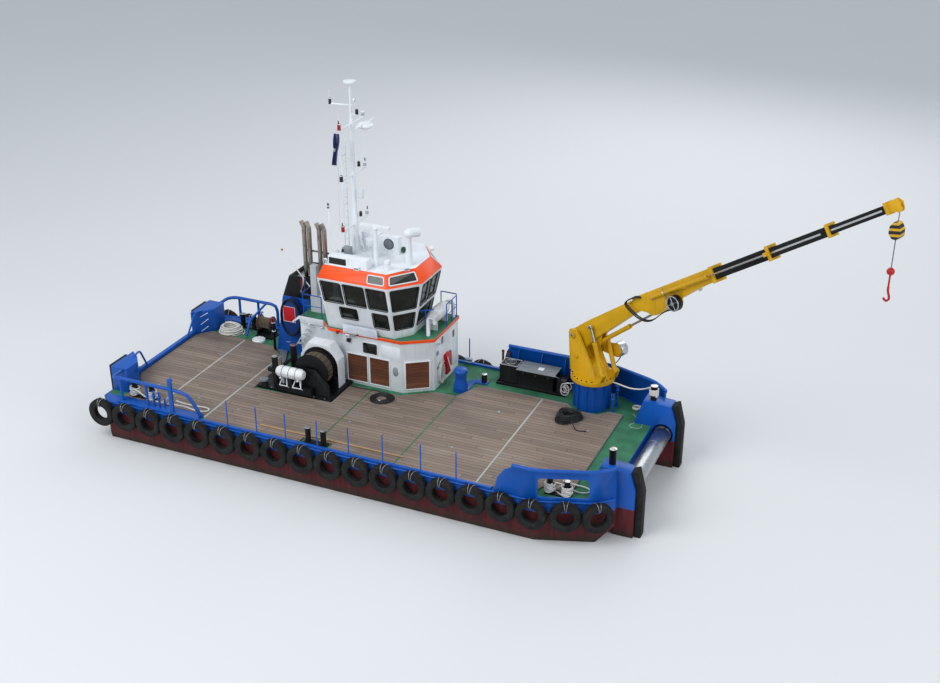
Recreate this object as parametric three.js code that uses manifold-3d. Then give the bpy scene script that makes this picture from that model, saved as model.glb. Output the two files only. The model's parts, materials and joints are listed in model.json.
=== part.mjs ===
// Shallow-draught crane workboat, 22.5 m hull: millimetres, +X to the bow, +Y to port, +Z up.
// The origin is on the flat bottom, midships, on the centreline.
import * as THREE from "three";
import { mergeVertices } from "three/addons/utils/BufferGeometryUtils.js";
import Module from "manifold-3d";

const wasm = await Module();
wasm.setup();
const { degToRad } = THREE.MathUtils;

// Driving sizes
const GAP = 0.3; // seam between two pieces that touch
const STERN_X = -11250;
const BOW_X = 10150;
const HALF_BEAM = 4500;
const QUARTER_X = -10900; // where the sides begin to close towards the transom
const SHOULDER_X = 7830; // where they begin to close towards the bow
const STEEL_DECK = 3340; // top of the plated deck
const DECK = 3400; // top of the wood sheathing
const ON_STEEL = STEEL_DECK + GAP;
const BULWARK_TOP = 4560;
const TIER_UNDER = 5590; // underside of the deckhouse top
const TIER_TOP = 5730;
const ON_TIER = TIER_TOP + GAP;
const EAVE = 8200; // lower edge of the brim
const ROOF = 8700; // upper edge of the brim
const SHAFT_Y = 2100;
const SHAFT_Z = 800;
const PROP_X = -9500;
const RUDDER_X = -10350;
const TYRE_R = 590;
const TYRE_BORE = 300;
const TYRE_Y = 4720;
const TYRE_Z = 2870;
const TYRE_SIDES = 12;
const HANGER_Z = 3310; // rail that the tyres hang from
const KNEE_IN = 2320; // push knees, from the centreline
const KNEE_OUT = 3009.4;
const KNEE_FRONT = 11100;
const ROLLER_X = 10610;
const ROLLER_Z = 3080;
const ROLLER_R = 340;
const CRANE = [7420, 3050]; // slewing axis
const BOOM_AZ = degToRad(-26);
const LUFF_PIVOT = [-780, 6380]; // in the boom's plane: reach, height
const LUFF_FOOT = [840, 5120];
const LUFF_EYE = [120, 7000];
const KNUCKLE = [2420, 8780];
const JIB_FOOT = [300, 6300];
const JIB_EYE = [3258, 8713];
const JIB_ANGLE = degToRad(33.7);
const HEAD = [11930, -110]; // eye of the boom head, along and across the outer boom
const HEAD_EYE_R = 90;
const WINCH = [-3450, 4350]; // main winch drums' axis: X, Z
const MAST = [-2800, 2370];
const HOUSE_WALL = 70;
const CABIN_SKIN = 60;
const SIDES = [["starboard", -1], ["port", 1]];

// Colours
const BLUE = 0x0b4fb0;
const WHITE = 0xe9ecec;
const BLACK = 0x17181a;
const YELLOW = 0xe2a406;
const RUBBER = 0x202122;
const STEEL = 0xb9bcbe;
const TIMBER = 0x6f5243;
const ORANGE = 0xf06018;
const ROPE = 0x4a4034;
const PALE_ROPE = 0x6b5a42;
const RED = 0xc81e1e;
const BRONZE = 0xb08d45;
const DARK_RED = 0x5e1512;
const TINTED = 0x2b3b40;
const DARK_GREY = 0x2a2d31;

// Solids: booleans
function solid(geometry) {
  const bare = geometry.index ? geometry.toNonIndexed() : geometry.clone();
  for (const key of Object.keys(bare.attributes)) {
    if (key !== "position") bare.deleteAttribute(key);
  }
  const merged = mergeVertices(bare, 1e-3);
  const vertProperties = merged.attributes.position.array;
  const build = (triVerts) => new wasm.Manifold(new wasm.Mesh({ numProp: 3, vertProperties, triVerts }));
  const tri = new Uint32Array(merged.index.array);
  const made = build(tri);
  if (made.volume() >= 0) return made;
  for (let i = 0; i < tri.length; i += 3) {
    [tri[i], tri[i + 1]] = [tri[i + 1], tri[i]];
  }
  return build(tri);
}
const join = (...list) => list.flat(9).reduce((a, b) => a.add(b));
const cut = (body, ...list) => list.flat(9).reduce((a, b) => a.subtract(b), body);

// Solids: straight outlines
const vectors = (points) => points.map(([x, y]) => new THREE.Vector2(x, y));
function outline(points, holes = []) {
  const shape = new THREE.Shape(vectors(points));
  for (const hole of holes) shape.holes.push(new THREE.Path(vectors(hole)));
  return shape;
}
function prism(points, depth, matrix, holes) {
  const g = new THREE.ExtrudeGeometry(outline(points, holes), { depth, bevelEnabled: false });
  g.applyMatrix4(matrix);
  return solid(g);
}
const basis = (x, y, z, o) =>
  new THREE.Matrix4()
    .makeBasis(new THREE.Vector3(...x), new THREE.Vector3(...y), new THREE.Vector3(...z))
    .setPosition(...o);
// plan outline (X, Y) between two heights
function plan(points, z0, z1, holes) {
  return prism(points, z1 - z0, basis([1, 0, 0], [0, 1, 0], [0, 0, 1], [0, 0, z0]), holes);
}
// side profile (X, Z) between two Y, in either order
function side(points, ya, yb, holes) {
  const far = Math.max(ya, yb);
  return prism(points, Math.abs(yb - ya), basis([1, 0, 0], [0, 0, 1], [0, -1, 0], [0, far, 0]), holes);
}
// section (Y, Z) between two X
function section(points, x0, x1, holes) {
  return prism(points, x1 - x0, basis([0, 1, 0], [0, 0, 1], [1, 0, 0], [x0, 0, 0]), holes);
}
const rect = (a0, a1, b0, b1) => [[a0, b0], [a1, b0], [a1, b1], [a0, b1]];
const box = (x0, x1, ya, yb, z0, z1) => plan(rect(x0, x1, Math.min(ya, yb), Math.max(ya, yb)), z0, z1);
const centred = (x, y, halfX, halfY, z0, z1) => box(x - halfX, x + halfX, y - halfY, y + halfY, z0, z1);
const mirrorY = (points) => points.map(([x, y]) => [x, -y]).reverse();
const mirrorX = (points) => points.map(([x, y]) => [-x, y]).reverse();

// Solids: the crane's plane
const boomDir = [Math.cos(BOOM_AZ), Math.sin(BOOM_AZ)];
const boomNormal = [-boomDir[1], boomDir[0]];
// a point by its reach, height and offset across the boom
const inBoom = (reach, z, t = 0) => [
  CRANE[0] + boomDir[0] * reach + boomNormal[0] * t,
  CRANE[1] + boomDir[1] * reach + boomNormal[1] * t,
  z,
];
// profile (reach, height) between two offsets across the boom
function boom(points, t0, t1, holes) {
  const [x, y] = inBoom(0, 0, t1);
  const across = [-boomNormal[0], -boomNormal[1], 0];
  return prism(points, t1 - t0, basis([...boomDir, 0], [0, 0, 1], across, [x, y, 0]), holes);
}
// the outer boom's own axes: u along it from the knuckle, v square to it
const onJib = (u, v) => [
  KNUCKLE[0] + Math.cos(JIB_ANGLE) * u - Math.sin(JIB_ANGLE) * v,
  KNUCKLE[1] + Math.sin(JIB_ANGLE) * u + Math.cos(JIB_ANGLE) * v,
];
function jibPrism(points, t0, t1) {
  return boom(points.map((p) => onJib(...p)), t0, t1);
}
function jibBar(u0, v0, t0, u1, v1, t1, r, n) {
  return bar(inBoom(...onJib(u0, v0), t0), inBoom(...onJib(u1, v1), t1), r, n);
}

// Solids: round and bent ones
function ellipse(cx, cy, rx, ry, n, start = 0) {
  return Array.from({ length: n }, (_, i) => {
    const a = start + (i / n) * 2 * Math.PI;
    return [cx + rx * Math.cos(a), cy + ry * Math.sin(a)];
  });
}
const ring = (cx, cy, r, n, start) => ellipse(cx, cy, r, r, n, start);
// round bar between two points, with its own end radii
function bar(a, b, r, n = 8, r2 = r) {
  const from = new THREE.Vector3(...a);
  const to = new THREE.Vector3(...b);
  const g = new THREE.CylinderGeometry(r2, r, from.distanceTo(to), n);
  const along = to.clone().sub(from).normalize();
  g.applyQuaternion(new THREE.Quaternion().setFromUnitVectors(new THREE.Vector3(0, 1, 0), along));
  g.translate(...from.add(to).multiplyScalar(0.5).toArray());
  return solid(g);
}
const post = (x, y, z0, z1, r, n = 12, r2 = r) => bar([x, y, z0], [x, y, z1], r, n, r2);
function ball(x, y, z, r, n, m) {
  const g = new THREE.SphereGeometry(r, n, m);
  g.translate(x, y, z);
  return solid(g);
}
// profile (radius, height along the axis) turned about the Y axis of a frame
function turned(profile, n, matrix) {
  const g = new THREE.LatheGeometry(vectors(profile), n);
  g.applyMatrix4(matrix);
  return solid(g);
}
const upright = (x, y) => basis([1, 0, 0], [0, 0, 1], [0, -1, 0], [x, y, 0]);
const alongX = (origin) => basis([0, 0, 1], [1, 0, 0], [0, 1, 0], origin);
const alongY = (origin) => basis([1, 0, 0], [0, 1, 0], [0, 0, 1], origin);
// a path through given vertices, sampled at the vertices only
class Route extends THREE.Curve {
  constructor(points) {
    super();
    this.points = points.map((p) => new THREE.Vector3(...p));
  }
  getPoint(t) {
    const s = t * (this.points.length - 1);
    const i = Math.min(Math.floor(s), this.points.length - 2);
    return this.points[i].clone().lerp(this.points[i + 1], s - i);
  }
  getPointAt(t) {
    return this.getPoint(t);
  }
  getTangentAt(t) {
    const last = this.points.length - 1;
    const i = Math.round(t * last);
    const before = this.points[Math.max(i - 1, 0)];
    const after = this.points[Math.min(i + 1, last)];
    const here = this.points[i];
    const a = here.clone().sub(before).normalize();
    const b = after.clone().sub(here).normalize();
    return a.add(b).normalize();
  }
}
// polyline with each inner corner turned into a short bend of given radius
function rounded(points, radius, steps) {
  const out = [points[0]];
  for (let i = 1; i < points.length - 1; i++) {
    const p = new THREE.Vector3(...points[i]);
    const a = new THREE.Vector3(...points[i - 1]).sub(p);
    const b = new THREE.Vector3(...points[i + 1]).sub(p);
    const reach = Math.min(radius, a.length() * 0.45, b.length() * 0.45);
    const from = p.clone().add(a.normalize().multiplyScalar(reach));
    const to = p.clone().add(b.normalize().multiplyScalar(reach));
    for (let k = 0; k <= steps; k++) {
      const t = k / steps;
      const q = from.clone().lerp(p, t).lerp(p.clone().lerp(to, t), t);
      out.push(q.toArray());
    }
  }
  out.push(points[points.length - 1]);
  return out;
}
function tube(points, r, n = 8) {
  const extrudePath = new Route(points);
  const settings = { steps: points.length - 1, extrudePath, bevelEnabled: false };
  return solid(new THREE.ExtrudeGeometry(outline(ring(0, 0, r, n, Math.PI / n)), settings));
}

// Solids: leaning walls
function faceted(triangles) {
  const g = new THREE.BufferGeometry();
  g.setAttribute("position", new THREE.BufferAttribute(new Float32Array(triangles.flat(2)), 3));
  return solid(g);
}
const quad = (a, b, c, d) => [[a, b, c], [a, c, d]];
// solid between two polygons of the same number of corners, at two heights
function loft(low, z0, high, z1) {
  const n = low.length;
  const at = (p, z) => [p[0], p[1], z];
  const faces = low.flatMap((p, i) => {
    const j = (i + 1) % n;
    return quad(at(p, z0), at(low[j], z0), at(high[j], z1), at(high[i], z1));
  });
  for (const [a, b, c] of THREE.ShapeUtils.triangulateShape(vectors(low), [])) {
    faces.push([at(low[c], z0), at(low[b], z0), at(low[a], z0)]);
  }
  for (const [a, b, c] of THREE.ShapeUtils.triangulateShape(vectors(high), [])) {
    faces.push([at(high[a], z1), at(high[b], z1), at(high[c], z1)]);
  }
  return faceted(faces);
}
// solid between two faces of four corners each, the first one outermost
function wedge(outer, inner) {
  const faces = [...quad(...outer), ...quad(...[...inner].reverse())];
  for (let k = 0; k < 4; k++) {
    const m = (k + 1) % 4;
    faces.push(...quad(outer[k], inner[k], inner[m], outer[m]));
  }
  return faceted(faces);
}
// moves each edge of a counter-clockwise outline inwards by d
function inset(points, d) {
  const n = points.length;
  return points.map((p, i) => {
    const q = new THREE.Vector2(...p);
    const d1 = q.clone().sub(new THREE.Vector2(...points[(i + n - 1) % n])).normalize();
    const d2 = new THREE.Vector2(...points[(i + 1) % n]).sub(q).normalize();
    const m = new THREE.Vector2(-d1.y - d2.y, d1.x + d2.x);
    const k = (2 * d) / m.lengthSq();
    return [q.x + m.x * k, q.y + m.y * k];
  });
}
// plan outline of a plate that follows a line, half a thickness to each side
function strip(line, half) {
  const left = [];
  const right = [];
  line.forEach((p, i) => {
    const q = new THREE.Vector2(...p);
    const d1 = i ? q.clone().sub(new THREE.Vector2(...line[i - 1])).normalize() : null;
    const d2 = i < line.length - 1 ? new THREE.Vector2(...line[i + 1]).sub(q).normalize() : null;
    const d = d1 && d2 ? d1.clone().add(d2).normalize() : d1 || d2;
    const k = d1 && d2 ? 1 / d.dot(d1) : 1;
    left.push([q.x - d.y * half * k, q.y + d.x * half * k]);
    right.unshift([q.x + d.y * half * k, q.y - d.x * half * k]);
  });
  return [...right, ...left].reverse();
}
const mix = (a, b, t) => a.map((p, i) => p.map((c, k) => c + (b[i][k] - c) * t));

const root = new THREE.Group();
root.name = "crane_workboat";
function node(name, body, color, roughness = 0.5, metalness = 0.1) {
  const m = body.getMesh();
  const n = m.numProp;
  const v = new Float32Array(m.numVert * 3);
  for (let i = 0; i < m.numVert; i++) {
    v.set(m.vertProperties.subarray(i * n, i * n + 3), i * 3);
  }
  const g = new THREE.BufferGeometry();
  g.setAttribute("position", new THREE.BufferAttribute(v, 3));
  g.setIndex(new THREE.BufferAttribute(m.triVerts, 1));
  g.computeVertexNormals();
  const mesh = new THREE.Mesh(g, new THREE.MeshStandardMaterial({ color, roughness, metalness }));
  mesh.name = name;
  root.add(mesh);
}

// Hull, with a skeg, shaft tube and nozzle on each side
const hullPlan = [
  [STERN_X, -4150],
  [QUARTER_X, -HALF_BEAM],
  [SHOULDER_X, -HALF_BEAM],
  [9880, -3790],
  [10460, -3220],
  [10460, -3010],
  [BOW_X, -3010],
];
const hullSide = [
  [STERN_X, STEEL_DECK],
  [STERN_X, 1640],
  [-9300, 1560],
  [-5600, 0],
  [6300, 0],
  [8200, 450],
  [9500, 1250],
  [10460, 2150],
  [10460, STEEL_DECK],
];
const hullSection = [
  [-HALF_BEAM, STEEL_DECK],
  [-HALF_BEAM, 600],
  [-4310, 190],
  [-3900, 0],
];
const NOZZLE = { from: -9850, to: -9150, outer: 735, inner: 660, sides: 20 };
const skegSide = [
  [-5000, 0],
  [-8800, 0],
  [-8950, 500],
  [-8950, 1650],
  [-5000, 400],
];
let hull = plan([...hullPlan, ...mirrorY(hullPlan)], -5, STEEL_DECK)
  .intersect(side(hullSide, -4600, 4600))
  .intersect(section([...hullSection, ...mirrorX(hullSection)], -11300, 10500));
for (const [, s] of SIDES) {
  const y = s * SHAFT_Y;
  hull = join(
    hull,
    side(skegSide, y - 100, y + 100),
    bar([-8000, y, SHAFT_Z], [-9120, y, SHAFT_Z], 130, 12),
    section(ring(y, SHAFT_Z, NOZZLE.outer, NOZZLE.sides), NOZZLE.from, NOZZLE.to, [
      ring(y, SHAFT_Z, NOZZLE.inner, NOZZLE.sides),
    ]),
    centred(-9500, y, 300, 130, 1480, 1640),
  );
}
node("hull", hull, BLUE, 0.45);

// Wood sheathing, cut round what stands on the plated deck
const woodPlan = [
  [-11040, -2060],
  [-10800, -2400],
  [-10440, -2780],
  [-10440, -3950],
  [-6600, -3950],
  [-6350, -4330],
  [-1980, -4330],
  [-1980, -4000],
  [-680, -4000],
  [-680, -4330],
  [6100, -4330],
  [6300, -4150],
  [7600, -4150],
  [7800, -3600],
  [8880, -3600],
  [8880, 2650],
  [8320, 2650],
  [7900, 2230],
  [6940, 2230],
  [6520, 2650],
  [2660, 2650],
  [2100, 1400],
  [1180, 1400],
  [-80, 560],
  [-2350, 560],
  [-2350, -1080],
  [-5950, -1250],
  [-5950, 900],
  [-6330, 1710],
  [-7000, 2190],
  [-7050, 2400],
  [-10540, 2700],
  [-10800, 2400],
  [-11040, 2060],
];
node("wood_deck", plan(woodPlan, ON_STEEL, DECK), TIMBER, 0.8, 0);

// Tyre fenders: one hanging rail and a row of tyres on each side, and a block across the stern's corner
const tyreStations = [
  -9915, -8760, -7600, -6420, -5250, -4060, -2870, -1680, -500,
  690, 1870, 3050, 4230, 5430, 6600, 7790,
];
const tyreProfile = [
  [TYRE_BORE, -120],
  [TYRE_R, -160],
  [TYRE_R, 160],
  [TYRE_BORE, 120],
  [TYRE_BORE, -120],
];
const hangingRail = [
  [-11290, 3450],
  [-11290, 4160],
  [-10920, 4529],
  [7836, 4529],
  [9893, 3818],
  [10440, 3281],
];
// centre X and Y, degrees turned towards the bow, and the point of the rail that its lug is welded to
const endTyres = [
  { x: -11060, y: 4720, turn: 0, railX: -10925, railY: 4524 },
  { x: 8984, y: 4414, turn: 19, railX: 8897, railY: 4162 },
  { x: 10070, y: 4010, turn: 36, railX: 9890, railY: 3820 },
];
function tyre(x, y, degrees) {
  const g = new THREE.LatheGeometry(vectors(tyreProfile), TYRE_SIDES, Math.PI / TYRE_SIDES);
  g.rotateZ(degToRad(degrees));
  g.translate(x, y, TYRE_Z);
  return solid(g);
}
for (const [name, s] of SIDES) {
  const list = [tube(hangingRail.map(([x, y]) => [x, s * y, HANGER_Z]), 34, 4)];
  for (const x of tyreStations) {
    list.push(tyre(x, s * TYRE_Y, 0));
    list.push(box(x - 18, x + 18, s * 4540, s * 4620, HANGER_Z - 20, HANGER_Z + 20));
  }
  for (const { x, y, turn, railX, railY } of endTyres) {
    list.push(tyre(x, s * y, turn * -s));
    list.push(bar([x, s * y, HANGER_Z], [railX, s * railY, HANGER_Z], 24, 4));
  }
  list.push(box(STERN_X - 200, STERN_X - GAP, s * 2390, s * 3510, 1500, 4400));
  node("side_fenders_" + name, join(list), RUBBER, 0.85, 0);
}

// Bow: push knees with a post each, their fenders, the roller in its two bearings
const kneeSide = [
  [9430, ON_STEEL],
  [9760, 4410],
  [10880, 4330],
  [KNEE_FRONT, 3640],
  [KNEE_FRONT, 1350],
  [10900, 900],
  [BOW_X + GAP, 1900],
  [BOW_X + GAP, ON_STEEL],
];
const kneeFenderSide = [
  [KNEE_FRONT + GAP, 3650],
  [10885 + GAP, 4335],
  [11130, 4440],
  [11370, 3500],
  [11370, 900],
  [11250, 600],
  [KNEE_FRONT + GAP, 600],
];
const KNEE_POST = { x: 10090, y: 2620, from: 4300, to: 4980, r: 130, cap: 150 };
const BEARING = { depth: 260, r: 430, lift: 20 };
for (const [name, s] of SIDES) {
  const { x, y, from, to, r, cap } = KNEE_POST;
  const knee = join(
    side(kneeSide, s * KNEE_IN, s * KNEE_OUT),
    post(x, s * y, from, to, r, 16),
    post(x, s * y, to - 20, to + 20, cap, 16),
  );
  const z = ROLLER_Z + BEARING.lift;
  const recess = bar(
    [ROLLER_X, s * (KNEE_IN - 100), z],
    [ROLLER_X, s * (KNEE_IN + BEARING.depth), z],
    BEARING.r,
    24,
  );
  node("bow_knee_" + name, cut(knee, recess), BLUE, 0.4);
  node("knee_fender_" + name, side(kneeFenderSide, s * 2665 - 230, s * 2665 + 230), RUBBER, 0.8, 0);
}
const shaftEnd = KNEE_IN + BEARING.depth - GAP;
const drumEnd = shaftEnd - 94;
node(
  "bow_roller",
  join(
    bar([ROLLER_X, -drumEnd, ROLLER_Z], [ROLLER_X, drumEnd, ROLLER_Z], ROLLER_R, 28),
    bar([ROLLER_X, -shaftEnd, ROLLER_Z], [ROLLER_X, shaftEnd, ROLLER_Z], 120, 12),
  ),
  STEEL,
  0.25,
  0.9,
);

// Stern: corner blocks with a hand loop each, low transom plate between them
const sternCorner = [
  [STERN_X, 2100],
  [-10800, 2450],
  [-10480, 2830],
  [-10480, 3620],
  [STERN_X, 3620],
];
const sternLoop = [
  [-10900, 2500, 4440],
  [-10960, 2050, 4500],
  [-11100, 1480, 3500],
];
const sternList = [box(-11240, -11060, -2150, 2150, ON_STEEL, 3560)];
for (const [, s] of SIDES) {
  const loop = rounded(sternLoop.map(([x, y, z]) => [x, s * y, z]), 260, 3);
  sternList.push(plan(s > 0 ? sternCorner : mirrorY(sternCorner), ON_STEEL, 4430));
  sternList.push(tube([[-10900, s * 2600, 4380], ...loop], 45, 8));
}
node("stern_works", join(sternList), BLUE, 0.4);

// Bulwarks at the bow: a ribbed plate under a round cap; `aft` is where it begins to rise
const bulwarkLine = [
  [SHOULDER_X - 12, 4455],
  [9850, 3752],
  [10415, 3196],
];
const bulwarks = {
  starboard: { aft: 6220, rise: 720 },
  port: { aft: 3000, rise: 250 },
};
const ribSlope = [
  [4100, 3300],
  [4100, 3700],
  [4400, 4540],
  [3900, 4600],
  [3900, 3300],
];
const RIB_STEP = 1050;
const bowPort = [
  [7900, 3540],
  [8000, 3470],
  [9560, 3470],
  [9660, 3540],
  [9660, 4180],
  [9560, 4260],
  [8000, 4260],
  [7900, 4180],
];
for (const [name, s] of SIDES) {
  const { aft, rise } = bulwarks[name];
  const line = [[aft, 4455], ...bulwarkLine, [10415, 3040]].map(([x, y]) => [x, s * y]);
  const above = [
    [aft - 200, 3345],
    [aft - 200, 4800],
    [aft + rise, 4800],
    [aft + rise, BULWARK_TOP - 60],
    [aft + rise * 0.55, BULWARK_TOP - 240],
    [aft + rise * 0.2, 3950],
    [aft + 40, 3480],
    [aft - 100, 3480],
  ];
  let wall = cut(plan(strip(line, 30), ON_STEEL, BULWARK_TOP), side(above, s * 4200, s * 4700));
  if (s < 0) wall = cut(wall, side(bowPort, -4800, -3300));
  const capLine = [[aft + rise - 30, 4455], ...bulwarkLine, [10415, 3070]];
  const cap = tube(rounded(capLine.map(([x, y]) => [x, s * y, BULWARK_TOP]), 350, 2), 75, 8);
  const slope = section(s > 0 ? ribSlope : mirrorX(ribSlope), 2000, 8000);
  const ribs = [];
  for (let x = aft + 700; x < 7400; x += RIB_STEP) {
    ribs.push(cut(box(x - 12, x + 12, s * 4180, s * 4440, STEEL_DECK + 5, 4500), slope));
  }
  node("bow_bulwark_" + name, join(wall, cap, ribs), BLUE, 0.4);
}

// Gunwale bars with upright posts, and the heavy tube rails at the quarters
const quarters = {
  starboard: {
    fore: 6120,
    uprights: [-5130, -3800, -2500, -1100, 250, 1700, 3280, 4720],
    rail: [
      [-10700, -3620 - GAP, 4350],
      [-10700, -4250, 4350],
      [-10300, -4330, 4420],
      [-7650, -4330, 4420],
      [-6980, -4330, 4360],
      [-6500, -4230, 3390],
    ],
    posts: [-10250, -9000, -7790],
  },
  port: {
    fore: 2900,
    uprights: [-7000, -5600, -4200, -2800, -1400, 0, 1400],
    rail: [
      [-10700, 3620 + GAP, 4350],
      [-10700, 4250, 4350],
      [-10300, 4330, 4440],
      [-8090, 4330, 4440],
      [-8090, 4330, 3390],
    ],
    posts: [-10100, -9100],
  },
};
const hookPost = [
  [-7870, 3400],
  [-7700, 3400],
  [-7700, 4780],
  [-7640, 4900],
  [-7720, 4960],
  [-7870, 4900],
];
const railBrace = [
  [-8650, 4330, 4440],
  [-8870, 3200, 3990],
  [-8830, 2810, DECK + GAP],
];
for (const [name, s] of SIDES) {
  const { fore, uprights, rail, posts } = quarters[name];
  node(
    "side_rail_" + name,
    join(
      box(-10400, fore, s * 4360, s * 4495, ON_STEEL, 3430),
      box(-10400, -6600, s * 4000, s * 4370, ON_STEEL, 3400),
      tube(rounded(rail, 300, 2), 75, 8),
      posts.map((x) => post(x, s * 4330, 3345, 4420, 60, 8)),
      uprights.map((x) => post(x, s * 4440, 3400, 4550, 26, 6)),
      s < 0 ? side(hookPost, -4430, -4330) : tube(rounded(railBrace, 200, 2), 55, 8),
    ),
    BLUE,
    0.4,
  );
}

// Mooring bitts: centre, foot, and half the distance between the two posts
const BITT = { base: 60, halfWidth: 130, overhang: 170, r: 110, cap: 130, height: 660 };
const bitts = {
  mid_starboard: { x: -1325, y: -4150, foot: ON_STEEL, half: 335 },
  aft_starboard: { x: -9600, y: -3780, foot: DECK + GAP, half: 420 },
  bow_starboard: { x: 8480, y: -3800, foot: ON_STEEL, half: 330 },
};
for (const [name, { x, y, foot, half }] of Object.entries(bitts)) {
  const list = [centred(x, y, half + BITT.overhang, BITT.halfWidth, foot, foot + BITT.base)];
  for (const k of [-half, half]) {
    list.push(post(x + k, y, foot + 30, foot + BITT.height - 20, BITT.r));
    list.push(post(x + k, y, foot + BITT.height - 40, foot + BITT.height, BITT.cap));
  }
  node("bitts_" + name, join(list), BLACK, 0.5);
}

// Deckhouse: walls, the deck on top of it, casing and trunk of the forward exhausts, two vents
const housePlan = [
  [-3470, 1310],
  [-2810, 900],
  [-90, 880],
  [1030, 1640],
  [1030, 4050],
  [-3470, 4050],
];
const tierPlan = [
  [-5100, 1380],
  [-3980, 1380],
  [-3420, 850],
  [-90, 840],
  [1075, 1600],
  [1075, 4095],
  [-5100, 4095],
];
// an upright window with its corners cut, in a wall square to X
const porthole = (y, z, halfWidth, halfHeight) => [
  [y - halfWidth, z - halfHeight + 70],
  [y - halfWidth + 60, z - halfHeight],
  [y + halfWidth - 60, z - halfHeight],
  [y + halfWidth, z - halfHeight + 70],
  [y + halfWidth, z + halfHeight - 70],
  [y + halfWidth - 60, z + halfHeight],
  [y - halfWidth + 60, z + halfHeight],
  [y - halfWidth, z + halfHeight - 70],
];
const HOUSE_DOOR = { from: 3250, to: 3930, sill: 3560, head: 5430, window: 3600 };
const EXHAUST_CASING = 6460; // top of the casing round the forward exhausts
const edgeLip = [
  [-5100, TIER_UNDER - 160],
  [-3980, TIER_UNDER - 160],
  [-3980, TIER_TOP],
  [-5140, TIER_TOP],
  [-5500, 5400],
  [-5470, 5350],
  [-5140, TIER_UNDER],
];
// vents: foot X and Y, height of the bend, and how far along X the mouth is set over
const vents = [
  { x: 700, y: 1800, top: 6560, over: 300 },
  { x: 880, y: 3890, top: 6400, over: -300 },
];
function vent({ x, y, top, over }) {
  const route = [[x, y, TIER_TOP - 20], [x, y, top], [x + over, y, top], [x + over, y, top - 260]];
  return tube(rounded(route, 150, 3), 80, 10);
}
let house = plan(housePlan, ON_STEEL, TIER_UNDER + 10);
house = cut(house, plan(inset(housePlan, HOUSE_WALL), STEEL_DECK - 10, TIER_UNDER - 30));
house = join(
  house,
  plan(tierPlan, TIER_UNDER, TIER_TOP),
  side(edgeLip, 1380, 1400),
  box(-4880, -4260, 1960, 3300, TIER_TOP - 20, EXHAUST_CASING),
  box(-4830, -4550, 1960, 2240, EXHAUST_CASING - 20, 7850),
  vents.map(vent),
);
house = cut(
  house,
  box(-1880, -1190, 700, 1100, 4840, 5360),
  box(900, 1200, HOUSE_DOOR.from, HOUSE_DOOR.to, HOUSE_DOOR.sill, HOUSE_DOOR.head),
  section(porthole(2430, 5300, 110, 190), 900, 1200),
  box(-2600, -1900, 3900, 4200, 4700, 5250),
);
node("deckhouse", house, WHITE, 0.4);
const leafWindow = section(porthole(HOUSE_DOOR.window, 5090, 100, 180), 900, 1200);
node(
  "deckhouse_door",
  join(
    cut(
      box(972, 1022, HOUSE_DOOR.from + 7, HOUSE_DOOR.to - 7, HOUSE_DOOR.sill + GAP, HOUSE_DOOR.head - 7),
      leafWindow,
    ),
    box(1018, 1050, HOUSE_DOOR.from + 40, HOUSE_DOOR.from + 110, 4380, 4460),
  ),
  WHITE,
  0.4,
);

// Wheelhouse: six faces leaning outwards under a brim that leans back in
const cabinFoot = [[-3480, 960], [-420, 960], [120, 1620], [120, 3120], [-420, 3780], [-3480, 3780]];
const cabinEave = [[-3520, 280], [-380, 280], [660, 1420], [660, 3320], [-380, 4460], [-3520, 4460]];
const brimTop = [[-3350, 570], [-520, 600], [240, 1710], [240, 3030], [-520, 4140], [-3350, 4170]];
const CABIN_TOP = EAVE - GAP;
const cabinHead = mix(cabinFoot, cabinEave, (CABIN_TOP - TIER_TOP) / (EAVE - TIER_TOP));
const BRIDGE_DOOR = { from: 1300, to: 2020, sill: 5830, head: 7720 };
// a point on a leaning face, by the fraction of its width and of its height
function onFace(low, high, z0, z1, face, f, t, out) {
  const at = mix(low, high, t);
  const [x0, y0] = at[face];
  const [x1, y1] = at[(face + 1) % 6];
  const len = Math.hypot(x1 - x0, y1 - y0);
  const x = x0 + (x1 - x0) * f + ((y1 - y0) / len) * out;
  const y = y0 + (y1 - y0) * f - ((x1 - x0) / len) * out;
  return [x, y, z0 + (z1 - z0) * t];
}
const corners = (f0, f1, t0, t1) => [[f0, t0], [f1, t0], [f1, t1], [f0, t1]];
function paneHole({ face, from, to, sill, head }) {
  const share = (z) => (z - TIER_TOP) / (EAVE - TIER_TOP);
  const pane = corners(from, to, share(sill), share(head));
  const at = (out) => pane.map((c) => onFace(cabinFoot, cabinEave, TIER_TOP, EAVE, face, ...c, out));
  return wedge(at(260), at(-260));
}
function brimHole({ face, from, to }) {
  const at = (out) =>
    corners(from, to, 0.2, 0.78).map((c) => {
      const [x, y, z] = onFace(cabinEave, brimTop, EAVE, ROOF, face, ...c, out);
      return [x, y, z + out];
    });
  return wedge(at(160), at(-160));
}
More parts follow.
